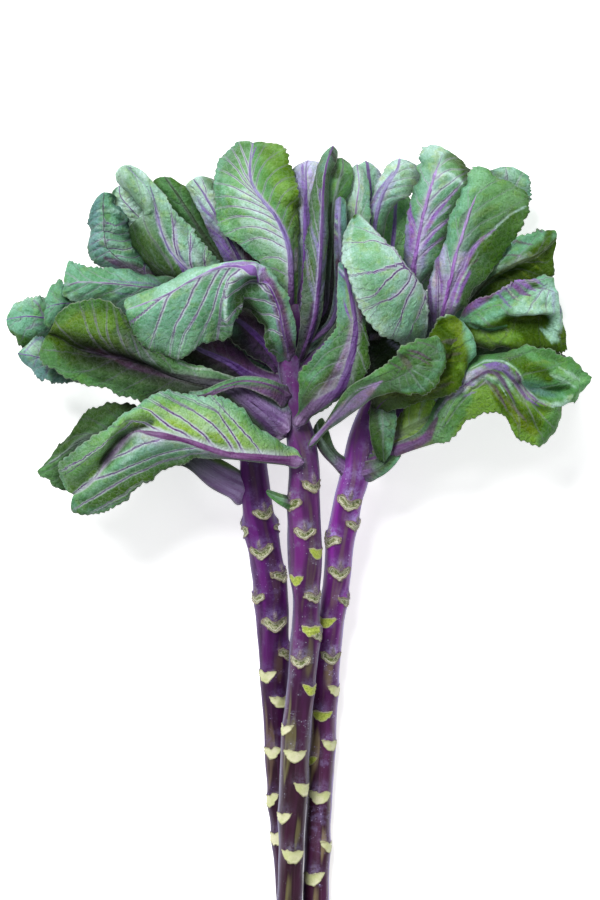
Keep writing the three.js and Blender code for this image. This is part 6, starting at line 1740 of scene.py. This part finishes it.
def stalk_skin(s, mm, patch, streak, crumbs):
    """Vivid purple, darker and browner below, lilac above, with olive and magenta streaks and bloom; a
    painted highlight on the upper face and a painted sheen along the sides.
    """
    low = s.parts("skin")[2]
    _, high, edge = s.parts("mark")
    halo = s.parts("scar")[2]
    broad = s.noise(s.times(s.attribute("skin"), (1.0, 0.12, 0.0)), 11.0, 2.0)
    colour = s.mix(low, STALK_TOP, STALK_FOOT)
    # Lilac along the sides and in patches of the upper stalk: bloom, with a painted sheen at the sides.
    sides = s.math("MULTIPLY_ADD", edge, 0.6, s.band(patch, 0.35, 0.65, 0.0, 0.35))
    colour = s.mix(s.product(high, sides), colour, STALK_LILAC)
    # Rose on the upper face of the upper stalk: partly its own colour, partly a painted highlight.
    facing = s.product(high, s.math("SUBTRACT", 1.0, edge))
    colour = s.mix(s.product(facing, s.band(patch, 0.3, 0.6, 0.75, 0.35)), colour, STALK_ROSE)
    colour = s.mix(s.band(broad, 0.34, 0.6, 0.0, 0.8), colour, s.times(colour, (0.42, 0.3, 0.42)))
    magenta = s.product(s.band(broad, 0.34, 0.5, 0.7, 0.0), s.band(low, 0.1, 0.9, 1.0, 0.1))
    colour = s.mix(magenta, colour, STALK_MAGENTA)
    olive = s.product(s.band(broad, 0.53, 0.62), s.band(broad, 0.62, 0.74, 1.0, 0.2))
    colour = s.mix(s.product(olive, s.band(low, 0.0, 0.9, 0.3, 0.85)), colour, STALK_OLIVE)
    colour = s.mix(s.band(streak, 0.55, 0.8, 0.0, 0.16), colour, STALK_STREAK)

    # Bloom: along the sides, above each scar, and in scattered specks. Along the sides it is real bloom made
    # stronger as a painted sheen where the stalk turns away.
    waxy = s.band(patch, 0.54, 0.72, 0.0, 0.3)
    waxy = s.math("MAXIMUM", waxy, s.product(halo, s.band(crumbs, 0.35, 0.6, 0.15, 1.0)))
    waxy = s.math("MAXIMUM", waxy, s.product(edge, s.band(patch, 0.3, 0.6, 0.4, 0.9)))
    colour = s.mix(waxy, colour, BLOOM)
    specks = s.band(s.cells(mm, 2.6), 0.1, 0.2, 0.8, 0.0)
    return s.mix(s.product(specks, s.band(patch, 0.5, 0.62)), colour, SPECK)


def stalk_scars(s, mm, colour, patch, fine, crumbs):
    """A tan rim, a dark line, a cream band, then green with dark dots; lime or cream when plain."""
    inside, kind, _ = s.parts("scar")
    dots = s.band(s.cells(mm, 1.5), 0.16, 0.4, 0.9, 0.0)
    wavy = s.math("ADD", s.math("SUBTRACT", fine, 0.5), inside)
    lime = s.mix(s.band(fine, 0.3, 0.7), *LIMES)
    cream = s.mix(s.band(patch, 0.35, 0.65), *CREAMS)
    plain = s.mix(s.band(kind, 0.6, 0.9), lime, cream)
    cut = s.mix(s.band(wavy, 1.2, 1.9), CUT_PALE, s.mix(s.band(crumbs, 0.42, 0.58), *CUT_CORE))
    cut = s.mix(s.product(dots, s.band(wavy, 0.9, 1.8)), cut, CUT_DOT)
    ring = s.band(s.math("ABSOLUTE", s.math("SUBTRACT", wavy, 0.7)), 0.12, 0.36, 0.85, 0.0)
    cut = s.mix(ring, cut, CUT_RING)
    plain = s.mix(s.product(dots, s.band(kind, 0.6, 0.9, 0.6, 0.12)), plain, PLAIN_DOT)
    scar = s.mix(s.band(kind, 0.2, 0.4), cut, plain)
    rim = s.mix(s.band(fine, 0.35, 0.65), *RIMS)
    rim = s.mix(s.band(kind, 0.2, 0.5, 0.0, 0.6), rim, PLAIN_RIM)
    # Painted shadow just outside the raised rim.
    colour = s.mix(s.band(wavy, -1.5, -0.7, 0.0, 0.55), colour, s.times(colour, (0.5, 0.4, 0.45)))
    colour = s.mix(s.band(wavy, -0.8, -0.45), colour, rim)
    return s.mix(s.band(wavy, 0.1, 0.4), colour, scar)


def stalk_material(stem_name, lift):
    """Purple skin with lengthwise streaks, pale at the top, bluish bloom with a painted sheen along the
    sides, a painted highlight on top, leaf scars and buds.
    """
    s = Shader("kale_stalk_" + stem_name)
    mm = s.position()
    streak = s.noise(s.times(s.attribute("skin"), (1.0, 0.045, 0.0)), 2.4, 2.0, 0.5)
    fine = s.noise(mm, 1.1, 2.0)
    patch = s.noise(mm, 13.0, 4.0, 0.65)
    crumbs = s.noise(mm, 2.6, 4.0, 0.7)
    # Painted shade and light: the whole skin is scaled by the stem's own factors.
    colour = s.times(stalk_skin(s, mm, patch, streak, crumbs), lift)
    colour = stalk_scars(s, mm, colour, patch, fine, crumbs)
    colour = s.mix(s.parts("mark")[0], colour, s.mix(s.band(fine, 0.4, 0.6), *BUDS))
    height = s.math("MULTIPLY_ADD", fine, 0.6, s.product(streak, 1.2))
    return s.finish(colour, s.band(patch, 0.4, 0.7, 0.38, 0.55), height, 0.0004, 0.6, 0.3)


class Stalk:
    """A stalk's fine tube: its reach from the centre line, and what its scars and buds add to it."""

    def __init__(self, stem, seed):
        share = np.linspace(0, 1, STALK_RINGS + 1)
        self.centre = spline(place(stem["path"][:, :3]), share)
        self.radius = spline(stem["path"][:, 3:] * UNIT, share)
        self.tangent = unit(np.gradient(self.centre, axis=0))
        steps = np.linalg.norm(np.diff(self.centre, axis=0), axis=1)
        self.run = np.concatenate([[0], np.cumsum(steps)])[:, None]
        self.turn = np.linspace(0, 2 * math.pi, STALK_SIDES, endpoint=False)[None, :]
        self.field = random_field(seed)
        self.reach = np.repeat(self.radius, STALK_SIDES, 1)
        facets = np.abs(np.sin(2.5 * self.turn + 0.9 * self.field(self.run / FACET_RUN, 3) + seed))
        self.reach += RIDGE * (0.62 - facets) + 0.3 * self.field(self.run / 14, np.cos(self.turn) * 3 + 9)
        self.halo, self.bud, self.kinds = (np.zeros_like(self.reach) for _ in range(3))
        self.depth = np.full_like(self.reach, -9.0)

    def add_scar(self, number, column, row, kind):
        """A raised scar with its rim, the swelling below it and the bud above it."""
        x, y, _ = place([[column, row, 0]])[0]
        at = np.argmin(np.abs(self.centre[:, 1] - y))
        facing = math.acos(np.clip((x - self.centre[at, 0]) / self.radius[at, 0], -1, 1))
        beside = np.arctan2(np.sin(self.turn - facing), np.cos(self.turn - facing)) * self.radius
        ahead = self.run - self.run[at] + 0 * beside
        plain = smooth(kind, 0.2, 0.5)
        size = SCAR_HALF * (1 + 0.12 * math.sin(number * 2.3)) * (1 - 0.2 * (kind == 0.5))
        across_share = np.abs(beside) / size
        shoulders = size * (0.4 - (0.24 - 0.1 * plain) * bell(across_share, 0.3))
        shoulders += size * 0.12 * (1 - plain) * bell(across_share - 0.7, 0.2)
        keel = size * (-0.66 + (0.66 + 0.3 * plain) * across_share ** (1.25 + 0.9 * plain))
        inside = np.minimum(np.minimum(ahead - keel, shoulders - ahead), (size - np.abs(beside)) * 0.8)
        inside = inside + self.field(beside / 2.2 + number, ahead / 2.2 + 20)
        self.reach += 1.3 * np.exp(-((beside / 10) ** 2) - (((ahead + 3) / 11) ** 2))
        self.reach += (1.5 - 0.6 * plain) * bell(inside + 0.2, 0.7)
        self.reach += smooth(inside, 0.3, 1.6) * (0.5 * plain - 0.35)
        self.reach += 0.5 * (1 - plain) * bell(inside - 1.9, 0.5)
        tall = size * 0.7
        point = bell(beside, 2.6 - 0.2 * np.clip(ahead - tall * 0.3, 0, 10))
        this_bud = point * bell(ahead - tall, 4.4) * (1 - 0.8 * plain)
        self.reach += 2.6 * this_bud
        closer = inside > self.depth
        self.depth = np.where(closer, inside, self.depth)
        self.kinds = np.where(closer, kind, self.kinds)
        self.bud = np.maximum(self.bud, smooth(this_bud, 0.25, 0.6))
        cloud = 0.65 + 0.35 * self.field(beside / 4, ahead / 6 + number)
        above = np.exp(-(across_share**2) - (((ahead - size * 0.75) / (size * 0.6)) ** 2))
        self.halo = np.maximum(self.halo, above * cloud * (1 - 0.6 * plain))

    def skin(self):
        """Points of the tube, off the floor; leaves leave a bloom where they join it."""
        sideways = unit(np.cross(self.tangent, (0, 0, 1)))
        up = np.cross(sideways, self.tangent)
        points = self.centre[:, None] + sideways[:, None] * (np.cos(self.turn) * self.reach)[..., None]
        points = points + up[:, None] * (np.sin(self.turn) * self.reach)[..., None]
        for entry in LEAVES:
            away = (points - entry["middle"][0]) / JOINT_HALF
            self.halo = np.maximum(self.halo, 0.6 * np.exp(-(away**2).sum(-1)))
        points[..., 2] = np.clip(points[..., 2], 0, None)
        return points

    def attributes(self, points, extra):
        """What the stalk material reads, three numbers to a point; the cut ends' points are extra."""
        y = points[..., 1]
        ones = np.ones_like(self.reach)
        edge = bell(np.sin(self.turn) - 0.12, 0.3) * ones
        around = self.turn * self.radius
        found = {
            "skin": ((around, self.run * ones, 1 - smooth(y, -200, 0)), extra),
            "scar": ((self.depth, self.kinds, np.clip(self.halo, 0, 1)), extra + [[-9, 0, 0]]),
            "mark": ((self.bud, smooth(y, 10, 90), edge), extra),
        }
        return {
            key: np.concatenate([np.stack(values, -1).reshape(-1, 3), ends])
            for key, (values, ends) in found.items()
        }


def close_ends(points, quads, centre, tangent):
    """Closes a tube with rings that shrink to a small square-cornered disc at each end."""
    rings, sides = points.shape[:2]
    flat = [points.reshape(-1, 3)]
    faces = [quads[:, ::-1]]
    total = rings * sides
    for end, direction in ((0, -1), (rings - 1, 1)):
        before = end * sides + np.arange(sides)
        for share, rise in END_RINGS:
            ring = centre[end] + (points[end] - centre[end]) * share + tangent[end] * direction * rise
            flat.append(ring)
            now = total + np.arange(sides)
            total += sides
            quad = np.stack([before, np.roll(before, -1), np.roll(now, -1), now], 1)
            faces.append(quad if direction < 0 else quad[:, ::-1])
            before = now
        half = np.arange(sides // 2 - 1)
        quad = np.stack([before[half], before[half + 1], before[-2 - half], before[-1 - half]], 1)
        faces.append(quad if direction < 0 else quad[:, ::-1])
    extra = np.zeros((total - rings * sides, 3))
    return np.concatenate(flat), np.concatenate(faces), extra


def stalk_piece(name, stem, seed, material):
    stalk = Stalk(stem, seed)
    for number, scar in enumerate(stem["scars"]):
        stalk.add_scar(number, *scar)
    tube = stalk.skin()
    quads = grid_quads(STALK_RINGS + 1, STALK_SIDES, closed=True)
    points, quads, extra = close_ends(tube, quads, stalk.centre, stalk.tangent)
    piece = make_mesh("fine_" + name, points, quads, stalk.attributes(tube, extra), material)
    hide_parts(name)
    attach(piece, "root")
    return piece


# ---- The bunch -------------------------------------------------------------------------------
STEM_SEED = 700
LEAF_SEED = 100
leaf_look = leaf_material()
for number, (name, entry) in enumerate(STEMS.items()):
    stalk_piece(name, entry, STEM_SEED + number, stalk_material(name, entry["lift"]))
shapes = [leaf_shape(entry, LEAF_SEED + number) for number, entry in enumerate(LEAVES)]
read_height = height_map(shapes)
for entry, shape in zip(LEAVES, shapes):
    leaf_piece(entry, shape, read_height, leaf_look)


# ---- Floor, light and camera, metres ---------------------------------------------------------
CAMERA_HEIGHT = 9.0
FOCUS_HEIGHT = 0.085  # height of the surface that the drawing's scale holds for
SENSOR = 36
FLOOR_SIZE = 6
FLOOR_DROP = 0.0004  # how far the floor lies below the frame's Z = 0
FLOOR_WHITE, FLOOR_GLOW, FLOOR_ROUGHNESS = 0.93, 0.62, 0.9
LAMPS = {  # direction towards it, strength, and the angle that it fills, in degrees
    "key": ((-0.35, 0.62, 1.0), 3.0, 24),
    "fill": ((0.6, -0.1, 1.0), 0.3, 60),
}
WORLD_TINT, WORLD_STRENGTH = (0.95, 0.97, 1.0, 1), 0.25


def add_floor():
    bpy.ops.mesh.primitive_plane_add(size=FLOOR_SIZE, location=(0, 0, -FLOOR_DROP))
    floor = bpy.context.object
    floor.name = "floor"
    s = Shader("pale_floor")
    s.skin.inputs["Base Color"].default_value = (FLOOR_WHITE, FLOOR_WHITE, FLOOR_WHITE, 1)
    s.skin.inputs["Emission Color"].default_value = (1, 1, 1, 1)
    s.skin.inputs["Emission Strength"].default_value = FLOOR_GLOW
    s.skin.inputs["Roughness"].default_value = FLOOR_ROUGHNESS
    floor.data.materials.append(s.material)


def add_light(name, direction, strength, softness):
    """A large far lamp."""
    lamp = bpy.data.lights.new(name, "SUN")
    lamp.energy, lamp.angle = strength, math.radians(softness)
    lit = bpy.data.objects.new(name, lamp)
    bpy.context.scene.collection.objects.link(lit)
    lit.location = direction
    lit.rotation_euler = (lit.location * -1).to_track_quat("-Z", "Y").to_euler()


def add_world():
    world = bpy.data.worlds.new("studio")
    world.use_nodes = True
    light = world.node_tree.nodes["Background"]
    light.inputs[0].default_value = WORLD_TINT
    light.inputs[1].default_value = WORLD_STRENGTH
    bpy.context.scene.world = world
    bpy.context.scene.view_settings.view_transform = "Standard"


def add_camera():
    data = bpy.data.cameras.new("camera")
    camera = bpy.data.objects.new("camera", data)
    bpy.context.scene.collection.objects.link(camera)
    tall = VIEW_ROWS * UNIT / 1000
    data.sensor_width = SENSOR
    data.lens = data.sensor_width * CAMERA_HEIGHT / tall
    data.clip_end = 50
    centre = place([VIEW_CENTRE])[0] / 1000
    camera.location = (centre[0], centre[1], CAMERA_HEIGHT + FOCUS_HEIGHT)
    bpy.context.scene.camera = camera


add_floor()
for name, lamp in LAMPS.items():
    add_light(name, *lamp)
add_world()
add_camera()
